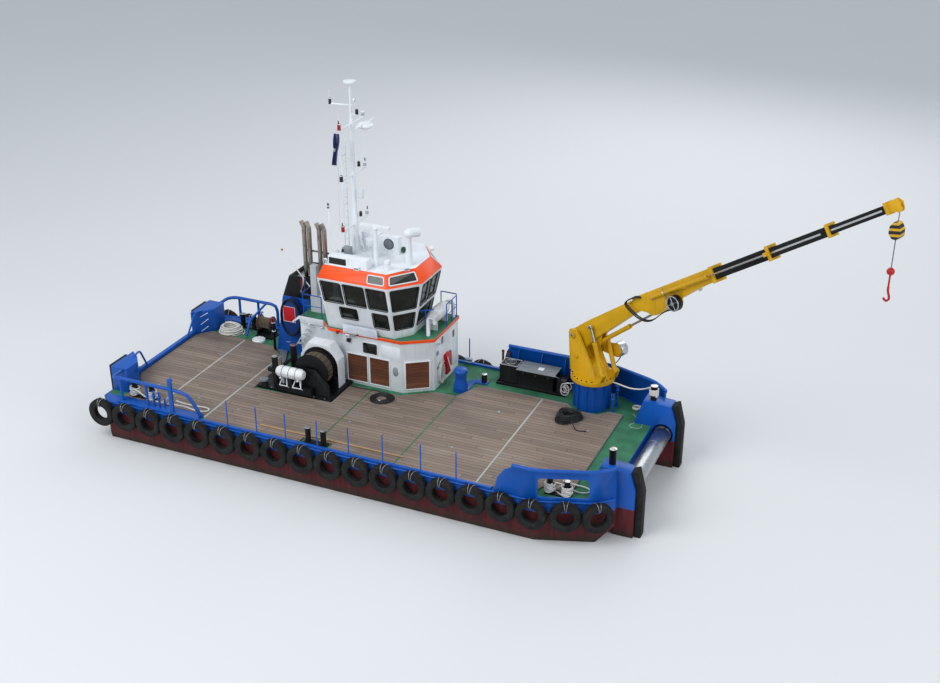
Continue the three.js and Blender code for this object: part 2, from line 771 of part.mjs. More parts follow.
// windows in three bands: which face, and where across it
const UPPER = { sill: 7060, head: 8080 };
const LOWER = { sill: 6130, head: 6880 };
const panes = [
  { face: 0, from: 0.03, to: 0.325, ...UPPER },
  { face: 0, from: 0.355, to: 0.66, ...UPPER },
  { face: 0, from: 0.69, to: 0.97, ...UPPER },
  { face: 0, from: 0.24, to: 0.5, sill: 6330, head: 6900 },
  { face: 0, from: 0.72, to: 0.95, ...LOWER },
  { face: 1, from: 0.08, to: 0.92, ...UPPER },
  { face: 1, from: 0.08, to: 0.92, ...LOWER },
  { face: 2, from: 0.05, to: 0.48, ...UPPER },
  { face: 2, from: 0.52, to: 0.95, ...UPPER },
  { face: 2, from: 0.08, to: 0.92, ...LOWER },
  { face: 3, from: 0.08, to: 0.92, ...UPPER },
  { face: 3, from: 0.08, to: 0.92, ...LOWER },
  { face: 4, from: 0.03, to: 0.31, ...UPPER },
  { face: 4, from: 0.34, to: 0.645, ...UPPER },
  { face: 4, from: 0.675, to: 0.97, ...UPPER },
  { face: 4, from: 0.05, to: 0.28, ...LOWER },
  { face: 5, from: 0.08, to: 0.5, ...UPPER },
];
const brimWindows = [
  { face: 0, from: 0.72, to: 0.96 },
  { face: 1, from: 0.08, to: 0.9 },
  { face: 3, from: 0.1, to: 0.92 },
  { face: 4, from: 0.04, to: 0.28 },
];
const lining = (d) => loft(inset(cabinFoot, d), ON_TIER, inset(cabinHead, d), CABIN_TOP);
const cabin = cut(
  loft(cabinFoot, ON_TIER, cabinHead, CABIN_TOP),
  loft(inset(cabinFoot, CABIN_SKIN), ON_TIER - 1, inset(cabinHead, CABIN_SKIN), CABIN_TOP + 1),
  panes.map(paneHole),
  box(-3700, -3300, BRIDGE_DOOR.from, BRIDGE_DOOR.to, BRIDGE_DOOR.sill, BRIDGE_DOOR.head),
);
node("wheelhouse", cabin, WHITE, 0.4);
const leaf = box(
  -3478,
  -3438,
  BRIDGE_DOOR.from + 6,
  BRIDGE_DOOR.to - 6,
  BRIDGE_DOOR.sill + GAP,
  BRIDGE_DOOR.head - 6,
);
node(
  "wheelhouse_door",
  join(cut(leaf, box(-3500, -3400, 1430, 1890, 6700, 7500)), box(-3500, -3470, 1340, 1420, 6560, 6620)),
  WHITE,
  0.4,
);
const glass = cut(
  lining(CABIN_SKIN + GAP).subtract(lining(CABIN_SKIN + 18)).intersect(box(-4000, 1000, 0, 5000, 6060, 8130)),
  box(-3700, -3300, 1200, 2120, 5900, 8200),
);
node("wheelhouse_glass", glass, TINTED, 0.08, 0.1);

// Roof with its gear: cooling units, a locker, searchlight, dome, drum and the scanner's post
const SEARCHLIGHT = [-110, 1830];
const DOME = [-700, 1060];
const AERIAL_DRUM = [-1850, 1900];
const SCANNER = [-1300, 1250];
const SCANNER_POST = 10270;
const ON_ROOF = ROOF - 20;
const roofShell = cut(
  loft(cabinEave, EAVE, brimTop, ROOF),
  loft(inset(cabinEave, 60), EAVE - 1, inset(brimTop, 60), ROOF - 70),
  brimWindows.map(brimHole),
);
node(
  "wheelhouse_roof",
  join(
    roofShell,
    box(-1850, -1000, 2620, 2960, ON_ROOF, 9420),
    box(-2720, -1900, 2720, 3060, ON_ROOF, 9420),
    box(-1910, -1840, 2740, 2900, ON_ROOF, 8790),
    box(-3150, -1420, 640, 1060, ON_ROOF, 9090),
    post(...SEARCHLIGHT, ROOF - 30, 9950, 150, 10, 110),
    ball(...SEARCHLIGHT, 10080, 210, 8, 6),
    bar([-110, 1880, 10080], [180, 2180, 10060], 190, 12),
    post(...DOME, ON_ROOF, 8950, 130, 10),
    ball(...DOME, 9010, 150, 8, 5),
    post(...AERIAL_DRUM, ON_ROOF, 9300, 60, 8),
    post(...AERIAL_DRUM, 9280, 9560, 210, 12),
    post(...SCANNER, ON_ROOF, SCANNER_POST, 110, 10, 80),
  ),
  ORANGE,
  0.4,
);
node(
  "radar_scanner",
  join(
    centred(...SCANNER, 640, 65, SCANNER_POST + 60, SCANNER_POST + 180),
    post(...SCANNER, SCANNER_POST + GAP, SCANNER_POST + 70, 110),
  ),
  WHITE,
  0.4,
);
node(
  "helm_station",
  join(
    box(-600, -150, 1500, 3240, ON_TIER, 6650),
    box(-780, -140, 1450, 3290, 6640, 6760),
    post(-1500, 2370, ON_TIER, 6300, 90, 10),
    box(-1780, -1220, 2100, 2640, 6280, 6400),
    box(-1800, -1690, 2100, 2640, 6380, 7100),
    box(-1800, -590, 2200, 2540, ON_TIER, TIER_TOP + 30),
  ),
  DARK_GREY,
  0.6,
  0,
);

// Mast: a stepped pole, three crossarms with a lantern at each end, and a ladder behind it
const [MX, MY] = MAST;
const poleSteps = [
  { from: ROOF + GAP, to: 10400, r: 170, top: 130, sides: 10 },
  { from: 10380, to: 14300, r: 110, top: 80, sides: 8 },
  { from: 14280, to: 15780, r: 60, top: 45, sides: 8 },
  { from: 15760, to: 15830, r: 250, top: 250, sides: 16 },
  { from: ROOF + GAP, to: ROOF + 40, r: 300, top: 300, sides: 12 },
];
const crossarms = [
  { z: 9900, half: 1100 },
  { z: 12000, half: 1050 },
  { z: 14100, half: 1050 },
];
const LADDER = { back: 415, half: 170, top: 13400 };
const mastList = poleSteps.map(({ from, to, r, top, sides }) => post(MX, MY, from, to, r, sides, top));
for (const { z, half } of crossarms) {
  mastList.push(bar([MX, MY - half, z], [MX, MY + half, z], 45, 6));
  for (const k of [-1, 1]) mastList.push(post(MX, MY + k * (half - 60), z, z + 260, 70, 6));
}
for (const k of [-1, 1]) {
  const y = MY + k * LADDER.half;
  mastList.push(bar([MX - LADDER.back, y, ROOF + GAP], [MX - LADDER.back, y, LADDER.top], 20, 6));
  for (const z of [9300, 12600]) {
    mastList.push(bar([MX - LADDER.back + 5, y - k * 5, z], [MX, MY, z], 16, 4));
  }
}
for (const z of [9470, 11100, 12730]) {
  mastList.push(bar([MX - LADDER.back, MY - LADDER.half, z], [MX - LADDER.back, MY + LADDER.half, z], 16, 4));
}
mastList.push(
  bar([MX - 900, MY - 100, 14850], [MX + 120, MY, 14850], 35, 8),
  post(MX - 860, MY - 95, 14820, 15080, 55, 8),
  bar([MX, MY, 13950], [MX + 480, MY + 260, 13950], 40, 8),
  post(MX + 480, MY + 260, 13900, 14160, 230, 14),
  bar([MX + 480, MY - 480, 14100], [MX + 480, MY + 950, 14100], 40, 6),
  post(MX + 330, MY - 20, 11050, 11450, 120, 12),
  bar([MX, MY, 11100], [MX + 330, MY - 20, 11100], 35, 6),
);
node("mast", join(mastList), WHITE, 0.4);

// Funnel casing with its open top, the upright oval locker beside it, the engine casing, the exhausts
const funnelSide = [
  [-6900, ON_STEEL],
  [-6450, 6000],
  [-6050, 7080],
  [-5130, 7120],
  [-5110, ON_STEEL],
];
const WELL_FLOOR = 6790;
const funnelWell = [
  [-6090, WELL_FLOOR],
  [-5975, 7100],
  [-5975, 7300],
  [-5190, 7300],
  [-5190, WELL_FLOOR],
];
node(
  "funnel_casing",
  join(
    cut(side(funnelSide, 2250, 3950), side(funnelWell, 2310, 3890)),
    side(ellipse(-5850, 5290, 460, 830, 24), 1850, 2260),
    box(-5150, -3540, 1460, 4040, ON_STEEL, TIER_UNDER - GAP),
  ),
  BLUE,
  0.4,
);
const PIPE_Y = 2620;
const PIPE_R = 100;
const pipes = [
  { x: -5400, foot: WELL_FLOOR + GAP },
  { x: -5160, foot: 7125 },
  { x: -4670, foot: EXHAUST_CASING + GAP },
  { x: -4430, foot: EXHAUST_CASING + GAP },
];
const exhausts = pipes.map(({ x, foot }) => [
  post(x, PIPE_Y, foot, 9300, PIPE_R, 8),
  bar([x, PIPE_Y, 9260], [x - 120, PIPE_Y, 9520], PIPE_R, 8),
]);
node("exhaust_pipes", join(exhausts, box(-5520, -4310, 2705, 2735, 8150, 8230)), STEEL, 0.35, 0.8);

// Rails and the covered tender on the deckhouse top
const RAIL_HEIGHT = 1000;
const upperRails = {
  fore: {
    line: [[1030, 2900], [1030, 3450], [1030, 3900], [960, 4040], [600, 4050], [250, 4050]],
    posts: [0, 1, 2, 5],
  },
  aft: {
    line: [
      [-3600, 4050],
      [-4300, 4050],
      [-4980, 4050],
      [-5050, 3980],
      [-5050, 3300],
      [-5050, 2500],
      [-5050, 1560],
      [-4960, 1470],
      [-4080, 1470],
    ],
    posts: [0, 1, 2, 5, 7, 8],
  },
};
for (const [name, { line, posts }] of Object.entries(upperRails)) {
  const at = (height) => line.map(([x, y]) => [x, y, TIER_TOP + height]);
  const uprights = posts.map((i) => post(...line[i], ON_TIER, TIER_TOP + RAIL_HEIGHT, 22, 6));
  const rails = join(tube(at(RAIL_HEIGHT), 24, 6), tube(at(RAIL_HEIGHT / 2), 16, 6), uprights);
  node("upper_rail_" + name, rails, BLUE, 0.4);
}
const tenderProfile = [
  [0, 0],
  [180, 60],
  [270, 400],
  [295, 900],
  [270, 1400],
  [170, 1700],
  [0, 1760],
];
node(
  "covered_tender",
  join(
    turned(tenderProfile, 14, alongY([660, 1980, 6330])),
    box(480, 840, 2350, 2430, ON_TIER, 6150),
    box(480, 840, 3350, 3430, ON_TIER, 6150),
  ),
  WHITE,
  0.6,
  0,
);

// Main winch: two drums on one line between cheeks, bollards, fairlead and a hood over the port drum
const [WX, WZ] = WINCH;
const BED_TOP = 3440;
const cheek = [
  [WX - 950, 3420],
  [WX - 950, 3900],
  [WX - 250, WZ + 180],
  [WX + 250, WZ + 180],
  [WX + 850, 3900],
  [WX + 850, 3420],
];
const cheekBore = [ring(WX, WZ, 96, 16)];
node(
  "winch_frame",
  join(
    box(-5880, -2400, -1060, 860, ON_STEEL, BED_TOP),
    side(cheek, -760, -700, cheekBore),
    side(cheek, -60, 0, cheekBore),
    post(-5030, -900, 3400, 4880, 125),
    post(-5050, 620, 3400, 4720, 150),
    bar([-5030, -900, 4150], [-5050, 620, 4150], 70, 10),
    bar([-5350, -890, 4230], [-5030, -900, 4230], 110, 8),
    box(-4900, -3300, -1050, -765, BED_TOP - 10, 3750),
    post(-5620, -900, BED_TOP - 10, 3560, 190, 14, 110),
    post(-5620, -900, 3540, 3660, 110, 14),
    post(-5620, -900, 3650, 3720, 190, 14),
  ),
  BLACK,
  0.45,
);
// drums: middle along Y, half length, flange radius, then hubs and shaft as [from, to, radius]
const DRUM_CORE = 560;
const drums = {
  starboard: { y: -380, half: 290, flange: 780, hubs: [[-700 + GAP, -60 - GAP, 150], [-750, -10, 90]] },
  port: { y: 265, half: 225, flange: 800, hubs: [[GAP, 540 - GAP, 150]] },
};
for (const [name, { y, half, flange, hubs }] of Object.entries(drums)) {
  const profile = [
    [0, -half],
    [flange, -half],
    [flange, -half + 35],
    [DRUM_CORE, -half + 50],
    [DRUM_CORE, half - 50],
    [flange, half - 35],
    [flange, half],
    [0, half],
  ];
  const drum = turned(profile, 22, alongY([WX, y, WZ]));
  const shafts = hubs.map(([y0, y1, r]) => bar([WX, y0, WZ], [WX, y1, WZ], r, 12));
  node("winch_drum_" + name, join(drum, shafts), ROPE, 0.7, 0.2);
}
const HOOD_R = 830;
const hoodSide = [
  [WX - 900, BED_TOP + GAP],
  [WX - 900, 4700],
  [WX - 520, 5320],
  [WX + 460, 5320],
  [WX + 850, 4700],
  [WX + 850, BED_TOP + GAP],
];
const hood = cut(
  side(hoodSide, 40, 600),
  side(ring(WX, WZ, HOOD_R, 32), -20, 540),
  box(WX - HOOD_R, WX + HOOD_R, -20, 540, 3300, WZ),
);
node("winch_hood", hood, WHITE, 0.4);

// Life raft canister on its cradle
const RAFT = [-4235, -1020, 4330];
const raftProfile = [
  [0, -620],
  [170, -620],
  [245, -500],
  [245, 500],
  [170, 620],
  [0, 620],
];
const cradles = [-400, 400].map((d) => [
  centred(RAFT[0] + d, RAFT[1] + 50, 30, 30, 3750 + GAP, 4130),
  centred(RAFT[0] + d, RAFT[1], 40, 200, 4080, 4130),
]);
node("life_raft", join(turned(raftProfile, 12, alongX(RAFT)), cradles), WHITE, 0.45, 0);

// Tugger winch and bitts on the port quarter
const TUGGER = [-8080, 3320, 4000];
const PORT_BITTS = { x: -9290, y: 3740, half: 285 };
const tuggerCheek = [
  [3080, 3400],
  [3560, 3400],
  [3420, 4120],
  [3220, 4120],
];
const tuggerBore = [ring(TUGGER[1], TUGGER[2], 62, 12)];
const portPosts = [-PORT_BITTS.half, PORT_BITTS.half].map((d) => [
  post(PORT_BITTS.x + d, PORT_BITTS.y, 3360, 3980, 110, 14),
  post(PORT_BITTS.x + d, PORT_BITTS.y, 3960, 4000, 130, 14),
]);
node(
  "tugger_frame",
  join(
    box(-8520, -7640, 3020, 3640, ON_STEEL, 3420),
    box(-9760, -8400, 3610, 3870, ON_STEEL, 3400),
    portPosts,
    section(tuggerCheek, -8480, -8430, tuggerBore),
    section(tuggerCheek, -7730, -7680, tuggerBore),
    box(-8480, -7680, 3520, 3560, 3400, 3640),
  ),
  BLACK,
  0.5,
);
const tuggerProfile = [
  [0, -330],
  [350, -330],
  [350, -300],
  [250, -290],
  [250, 290],
  [350, 300],
  [350, 330],
  [0, 330],
];
const tuggerShaft = (half, r) => {
  const [x, y, z] = TUGGER;
  return bar([x - half, y, z], [x + half, y, z], r, 12);
};
node(
  "tugger_drum",
  join(turned(tuggerProfile, 14, alongX(TUGGER)), tuggerShaft(350 - GAP, 100), tuggerShaft(400, 50)),
  PALE_ROPE,
  0.8,
  0,
);

// Capstan with the small bollard beside it, hydraulic power packs
const CAPSTAN = [2020, 2080];
const CAPSTAN_FOOT = 3420;
const capstanProfile = [
  [0, CAPSTAN_FOOT + GAP],
  [305, CAPSTAN_FOOT + GAP],
  [310, 3560],
  [245, 3800],
  [245, 4080],
  [290, 4180],
  [290, 4280],
  [230, 4350],
  [0, 4350],
];
node(
  "capstan_base",
  join(
    post(...CAPSTAN, ON_STEEL, CAPSTAN_FOOT, 310, 20),
    box(2060, 2330, 2080, 3100, ON_STEEL, 3375),
    box(2300, 2850, 2890, 3230, ON_STEEL, 3380),
    post(2670, 3060, 3370, 3760, 120, 14),
  ),
  BLUE,
  0.45,
);
node("capstan_drum", turned(capstanProfile, 20, upright(...CAPSTAN)), BLUE, 0.4);
node(
  "power_pack",
  join(
    box(3150, 6200, 3200, 4140, ON_STEEL, 3440),
    box(3200, 4000, 3450, 4130, 3430, 4160),
    box(4080, 5650, 3260, 4080, 3430, 4080),
    box(4020, 5720, 3210, 4130, 4070, 4180),
    box(5750, 6150, 3400, 4000, 3430, 3950),
  ),
  BLACK,
  0.5,
);

// Crane pedestal with its ribs, and the slewing column
const PEDESTAL = { r: 690, top: 4620, flange: 790, ribs: 12 };
const ribs = Array.from({ length: PEDESTAL.ribs }, (_, i) => {
  const a = (i / PEDESTAL.ribs) * 2 * Math.PI;
  const g = new THREE.BoxGeometry(120, 24, 1180);
  g.rotateZ(a);
  g.translate(CRANE[0] + 720 * Math.cos(a), CRANE[1] + 720 * Math.sin(a), 3960);
  return solid(g);
});
node(
  "crane_pedestal",
  join(
    post(...CRANE, ON_STEEL, PEDESTAL.top - 40, PEDESTAL.r, 24),
    post(...CRANE, PEDESTAL.top - 80, PEDESTAL.top, PEDESTAL.flange, 24),
    ribs,
  ),
  BLUE,
  0.4,
);
const columnCheek = [
  [-880, 4790],
  [-1030, 6380],
  [-990, 6530],
  [-870, 6610],
  [-640, 6600],
  [-480, 6480],
  [640, 4790],
];
const columnCore = [
  [-880, 4790],
  [-985, 5900],
  [-830, 5900],
  [-400, 5350],
  [250, 5350],
  [640, 4790],
];
const luffLug = [
  [640, 4790],
  [690, 5130],
  [760, 5220],
  [900, 5220],
  [970, 5130],
  [860, 4790],
];
const LUFF_LINES = [-370, 370]; // the luffing cylinders' offsets across the boom
const LUG = { clear: 106, thick: 22 }; // from a cylinder's middle to its lugs
const winchArm = [
  [-450, 5600],
  [800, 5650],
  [1000, 5950],
  [800, 6250],
  [-450, 5950],
];
const luffLugs = LUFF_LINES.flatMap((t) =>
  [-LUG.clear - LUG.thick, LUG.clear].map((d) =>
    boom(luffLug, t + d, t + d + LUG.thick, [ring(...LUFF_FOOT, 52, 8)]),
  ),
);
node(
  "crane_column",
  join(
    post(...CRANE, PEDESTAL.top + GAP, 4800, 900, 24),
    boom(columnCheek, -430, -340),
    boom(columnCheek, 340, 430),
    boom(columnCore, -345, 345),
    luffLugs,
    boom(rect(-450, -200, 5600, 5950), 425, 510),
    boom(winchArm, 505, 530),
    bar(inBoom(760, 5950, 525), inBoom(760, 5950, 850), 300, 14),
  ),
  YELLOW,
  0.4,
);

// A hydraulic cylinder between two points of the boom's plane. `inside` is how much of the rod is in the
// barrel at rest, `travel` how much further it can go in.
const ROD_CLEAR = 6.5;
function cylinder({ foot, eye, barrel, r, rod, offset, footHalf, eyeHalf, inside, travel }) {
  const len = Math.hypot(eye[0] - foot[0], eye[1] - foot[1]);
  const at = (d) => [foot[0] + ((eye[0] - foot[0]) / len) * d, foot[1] + ((eye[1] - foot[1]) / len) * d];
  const along = (d0, d1, radius, n) => bar(inBoom(...at(d0), offset), inBoom(...at(d1), offset), radius, n);
  const across = (p, half, radius, n) =>
    bar(inBoom(...p, offset - half), inBoom(...p, offset + half), radius, n);
  const body = join(
    across(foot, footHalf, r * 1.05, 12),
    along(r * 0.6, barrel, r, 12),
    along(barrel - 110, barrel, r * 1.08, 12),
    across(foot, footHalf + LUG.thick, 44, 10),
  );
  return {
    barrel: cut(body, along(barrel - inside - travel, barrel + 5, rod + ROD_CLEAR, 10)),
    rod: join(along(barrel - inside, len - 20, rod, 10), across(eye, eyeHalf, r * 0.95, 12)),
  };
}
const luffing = { foot: LUFF_FOOT, eye: LUFF_EYE, barrel: 1380, r: 95, rod: 52, inside: 700, travel: 450 };
const folding = { foot: JIB_FOOT, eye: JIB_EYE, barrel: 2000, r: 90, rod: 48, inside: 500, travel: 950 };
SIDES.forEach(([name], i) => {
  const ends = { offset: LUFF_LINES[i], footHalf: LUG.clear - GAP, eyeHalf: 74 };
  const { barrel, rod } = cylinder({ ...luffing, ...ends });
  node("luff_barrel_" + name, barrel, YELLOW, 0.4);
  node("luff_rod_" + name, rod, STEEL, 0.2, 0.9);
});
const jib = cylinder({ ...folding, offset: 0, footHalf: 100 - GAP, eyeHalf: 110 - GAP });
node("jib_barrel", jib.barrel, YELLOW, 0.4);
node("jib_rod", jib.rod, STEEL, 0.2, 0.9);

// Inner boom
const innerSide = [
  [-985, 6380],
  [-950, 6520],
  [-130, 7180],
  [2290, 8950],
  [2420, 8993],
  [2585, 8918],
  [2635, 8780],
  [2585, 8642],
  [2547, 8607],
  [450, 6690],
  [300, 6560],
  [-180, 6000],
  [-560, 5960],
  [-900, 6200],
];
const jibLug = [
  [-80, 6300],
  [120, 6160],
  [400, 6150],
  [480, 6300],
  [520, 6780],
  [100, 6500],
];
const pin = (p, half, r, n) => bar(inBoom(...p, -half), inBoom(...p, half), r, n);
node(
  "main_boom",
  cut(
    join(
      boom(innerSide, -250, 250),
      boom(jibLug, -150, -100),
      boom(jibLug, 100, 150),
      pin(LUFF_PIVOT, 340 - GAP, 190, 16),
      pin(LUFF_EYE, 296 - GAP, 110, 10),
      pin(KNUCKLE, 268 - GAP, 150, 12),
    ),
    pin(JIB_FOOT, 200, 52, 14),
  ),
  YELLOW,
  0.4,
);

// Outer boom: a hollow housing for the telescopes, with the first one's cylinder and a hose drum outside
const housingSide = [
  [-210, 120],
  [-130, 285],
  [4090, 290],
  [4090, -228],
  [3100, -250],
  [1440, -430],
  [1070, -590],
  [780, -640],
  [560, -600],
  [300, -400],
  [-60, -230],
  [-200, -80],
];
const knuckleHollow = [
  [-400, -900],
  [440, -900],
  [500, -300],
  [440, 235],
  [-400, 235],
];
const eyeHollow = [
  [-300, -900],
  [870, -900],
  [870, -330],
  [480, -330],
  [420, -200],
  [-300, -200],
];
const drumArm = [
  [1900, -300],
  [2250, -300],
  [2150, -560],
  [1950, -560],
];
const FLANK = 262; // the housing's half width ahead of its shoulders
const SHOULDER_U = 1500;
const COLLAR = { from: 3960, to: 4090, half: 300, top: 335, bottom: -275 };
const EXTENDER = {
  v: 40, // its line, square to the boom's axis and across it
  t: -400,
  r: 70,
  rod: 30,
  from: 900,
  to: 3900,
  rodFrom: 3400,
  travel: 2150,
  lug: 6680,
};
const along = (u0, u1, r, n) => jibBar(u0, EXTENDER.v, EXTENDER.t, u1, EXTENDER.v, EXTENDER.t, r, n);
const bracket = (u, t, r) => jibBar(u, EXTENDER.v, EXTENDER.t, u, EXTENDER.v, t, r, 8);
const HOSE_DRUM = { u: 2050, v: -440, r: 300 };
const housing = cut(
  jibPrism(housingSide, -335, 335),
  jibPrism(knuckleHollow, -268, 268),
  jibPrism(eyeHollow, -110, 110),
  jibPrism(rect(740, 4200, -185, 235), -215, 215),
  jibPrism(rect(SHOULDER_U, 4300, -500, 400), FLANK, 400),
  jibPrism(rect(SHOULDER_U, 4300, -500, 400), -400, -FLANK),
);
const collar = cut(
  jibPrism(rect(COLLAR.from, COLLAR.to, COLLAR.bottom, COLLAR.top), -COLLAR.half, COLLAR.half),
  jibPrism(rect(COLLAR.from - 9, COLLAR.to + 9, -215, 255), -260, 260),
);
const extender = join(
  bracket(900, -260, 90),
  along(EXTENDER.from, EXTENDER.to, EXTENDER.r, 10),
  bracket(2600, -250, 110),
  bracket(3850, -250, 80),
);
const rodBore = along(EXTENDER.rodFrom - EXTENDER.travel, EXTENDER.to + 90, EXTENDER.rod + ROD_CLEAR, 12);
const hoseDrum = ({ u, v, r }) => [
  jibBar(u, v, -210, u, v, -620, 60, 8),
  jibBar(u, v, -400, u, v, -620, r, 16),
];
node(
  "outer_boom",
  join(housing, collar, cut(extender, rodBore), jibPrism(drumArm, -262, -200), hoseDrum(HOSE_DRUM)),
  YELLOW,
  0.4,
);

// Telescopes: square tubes one inside another, each with a collar, guide pads and, at the end, the head
const SECTION_V = 25; // the tubes' middle, square to the boom's axis
const sections = [
  { from: 3150, to: 6740, halfHigh: 200, halfWide: 205, wall: 22, pad: 10 },
  { from: 5850, to: 9330, halfHigh: 167, halfWide: 172, wall: 20, pad: 11 },
  { from: 8500, to: 11640, halfHigh: 136, halfWide: 142, wall: 18, pad: 10 },
];
const headCheek = [
  [11540, -120],
  [11640, 190],
  [11950, 240],
  [12070, 90],
  [12040, -110],
  [11980, -200],
  [11880, -200],
  [11830, -130],
  [11700, -120],
];
const headPin = (half, r, n) => jibBar(...HEAD, -half, ...HEAD, half, r, n);
const extras = [
  [
    along(EXTENDER.rodFrom, EXTENDER.lug, EXTENDER.rod, 10),
    jibPrism(rect(EXTENDER.lug - 40, EXTENDER.lug + 40, -30, 110), EXTENDER.t - 45, -250),
  ],
  [],
  [
    jibPrism(headCheek, 60, 100),
    jibPrism(headCheek, -100, -60),
    jibPrism(rect(11600, 11660, -111, 161), -142, 142),
    headPin(110, 40, 8),
    headPin(25, HEAD_EYE_R, 12),
  ],
];
sections.forEach(({ from, to, halfHigh, halfWide, wall, pad }, i) => {
  const square = (u0, u1, up, down, wide) => {
    const profile = rect(u0, u1, SECTION_V - halfHigh - down, SECTION_V + halfHigh + up);
    return jibPrism(profile, -halfWide - wide, halfWide + wide);
  };
  const proud = pad - GAP;
  const tubeWall = cut(
    join(
      square(from, to - 60, 0, 0, 0),
      square(to - 110, to, 75, 55, 50),
      square(from + 40, from + 190, proud, proud, proud),
    ),
    square(from - 50, to + 50, -wall, -wall, -wall),
  );
  node("boom_section_" + (i + 1), join(tubeWall, extras[i]), BLACK, 0.4);
});

// Hook block hanging from the head on a short fall
const [HOOK_R, HEAD_Z] = onJib(...HEAD);
const BLOCK_TOP = 14900;
const BLOCK_FOOT = 14340;
const blockSide = [
  [HOOK_R - 60, BLOCK_TOP],
  [HOOK_R + 60, BLOCK_TOP],
  [HOOK_R + 190, 14710],
  [HOOK_R + 200, 14480],
  [HOOK_R + 80, BLOCK_FOOT],
  [HOOK_R - 80, BLOCK_FOOT],
  [HOOK_R - 200, 14480],
  [HOOK_R - 190, 14710],
];
// the hook's line: offset along the boom, height
const hookLine = [
  [0, 12740],
  [0, 12560],
  [90, 12430],
  [60, 12270],
  [-60, 12240],
  [-120, 12330],
];
const fall = (z0, z1, r) => bar(inBoom(HOOK_R, z0), inBoom(HOOK_R, z1), r, 8);
const hook = rounded(hookLine.map(([r, z]) => [r, 0, z]), 60, 1).map(([r, , z]) => inBoom(HOOK_R + r, z));
node(
  "hook_block",
  join(
    fall(BLOCK_TOP - 50, HEAD_Z - HEAD_EYE_R - GAP, 14),
    boom(blockSide, -130, 130),
    fall(BLOCK_FOOT + 20, 13300, 16),
    ball(...inBoom(HOOK_R, 13250), 130, 10, 7),
    fall(13200, 12700, 30),
    tube(hook, 38, 6),
  ),
  RED,
  0.5,
);

// Propellers and rudders
const BLADES = 4;
const PITCH = 52;
const BLADE_THICK = 34;
const bladeOutline = [
  [-90, 60],
  [-150, 300],
  [-190, 520],
  [-120, 622],
  [60, 630],
  [170, 560],
  [160, 300],
  [90, 60],
];
const foil = [
  [300, 0],
  [220, 70],
  [0, 90],
  [-500, 20],
  [-500, -20],
  [0, -90],
  [220, -70],
];
for (const [name, s] of SIDES) {
  const y = s * SHAFT_Y;
  const blades = Array.from({ length: BLADES }, (_, i) => {
    const g = new THREE.ExtrudeGeometry(outline(bladeOutline), { depth: BLADE_THICK, bevelEnabled: false });
    g.translate(0, 0, -BLADE_THICK / 2);
    g.rotateX(Math.PI / 2);
    g.rotateZ(degToRad(PITCH * s));
    g.rotateX((i / BLADES) * 2 * Math.PI);
    g.translate(PROP_X, y, SHAFT_Z);
    return solid(g);
  });
  const boss = [
    bar([-9660, y, SHAFT_Z], [-9300, y, SHAFT_Z], 95, 16, 120),
    bar([-9320, y, SHAFT_Z], [-9120 - GAP, y, SHAFT_Z], 70, 12),
  ];
  node("propeller_" + name, join(boss, blades), BRONZE, 0.3, 0.9);
  const blade = plan(foil.map(([a, b]) => [RUDDER_X + a, y + b]), 130, 1480);
  node("rudder_" + name, join(blade, post(RUDDER_X, y, 1470, 1599.9, 70)), DARK_RED, 0.5);
}

export default root;
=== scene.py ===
"""Dresses a crane workboat: paint, planks, rubber, glass, ropes and small fittings on its CAD frame.

Laid out as an add-on and run as a script. Metres, +X to the bow, +Y to port, +Z up.
"""

import json
import math

import bpy
from mathutils import Matrix, Vector


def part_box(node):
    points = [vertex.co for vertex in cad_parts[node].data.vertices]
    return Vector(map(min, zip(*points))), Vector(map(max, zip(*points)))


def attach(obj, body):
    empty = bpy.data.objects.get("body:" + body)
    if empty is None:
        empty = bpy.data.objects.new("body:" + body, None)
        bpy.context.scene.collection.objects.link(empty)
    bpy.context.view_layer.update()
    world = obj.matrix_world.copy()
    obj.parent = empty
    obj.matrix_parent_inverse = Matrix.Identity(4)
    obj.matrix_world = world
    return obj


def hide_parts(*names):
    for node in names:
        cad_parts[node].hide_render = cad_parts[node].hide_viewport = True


bl_info = {
    "name": "Crane workboat dressing",
    "version": (1, 0, 0),
    "blender": (4, 5, 0),
    "location": "View3D > Sidebar > Workboat",
    "description": "Surfaces and small fittings of a crane workboat, built round its CAD frame",
    "category": "Object",
}

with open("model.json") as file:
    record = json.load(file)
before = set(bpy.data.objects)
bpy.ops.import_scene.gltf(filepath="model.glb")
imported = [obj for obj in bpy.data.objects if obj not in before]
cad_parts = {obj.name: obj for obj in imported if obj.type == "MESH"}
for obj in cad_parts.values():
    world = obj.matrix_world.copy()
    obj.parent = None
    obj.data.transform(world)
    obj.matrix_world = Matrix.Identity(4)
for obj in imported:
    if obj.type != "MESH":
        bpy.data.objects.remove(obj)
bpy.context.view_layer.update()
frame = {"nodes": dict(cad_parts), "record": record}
RECORD = frame["record"]
BODY_OF = {n: b for b, nodes in RECORD["behaviour"]["bodies"].items() for n in nodes}

# Places that the CAD fixes
DECK = 3.40
STEEL_DECK = 3.34
TIER = 5.73
EAVE = 8.20
ROOF = 8.70
CRANE = (7.42, 3.05)
BOOM_AZ = math.radians(-26)
KNUCKLE = (2.42, 8.78)
JIB_ANGLE = math.radians(33.7)
DRUM = (-3.45, 4.35)
MAST = (-2.80, 2.37)
HOUSE_FOOT = [(-3.48, 0.96), (-0.42, 0.96), (0.12, 1.62), (0.12, 3.12), (-0.42, 3.78), (-3.48, 3.78)]
HOUSE_EAVE = [(-3.52, 0.28), (-0.38, 0.28), (0.66, 1.42), (0.66, 3.32), (-0.38, 4.46), (-3.52, 4.46)]
BRIM_TOP = [(-3.35, 0.57), (-0.52, 0.60), (0.24, 1.71), (0.24, 3.03), (-0.52, 4.14), (-3.35, 4.17)]


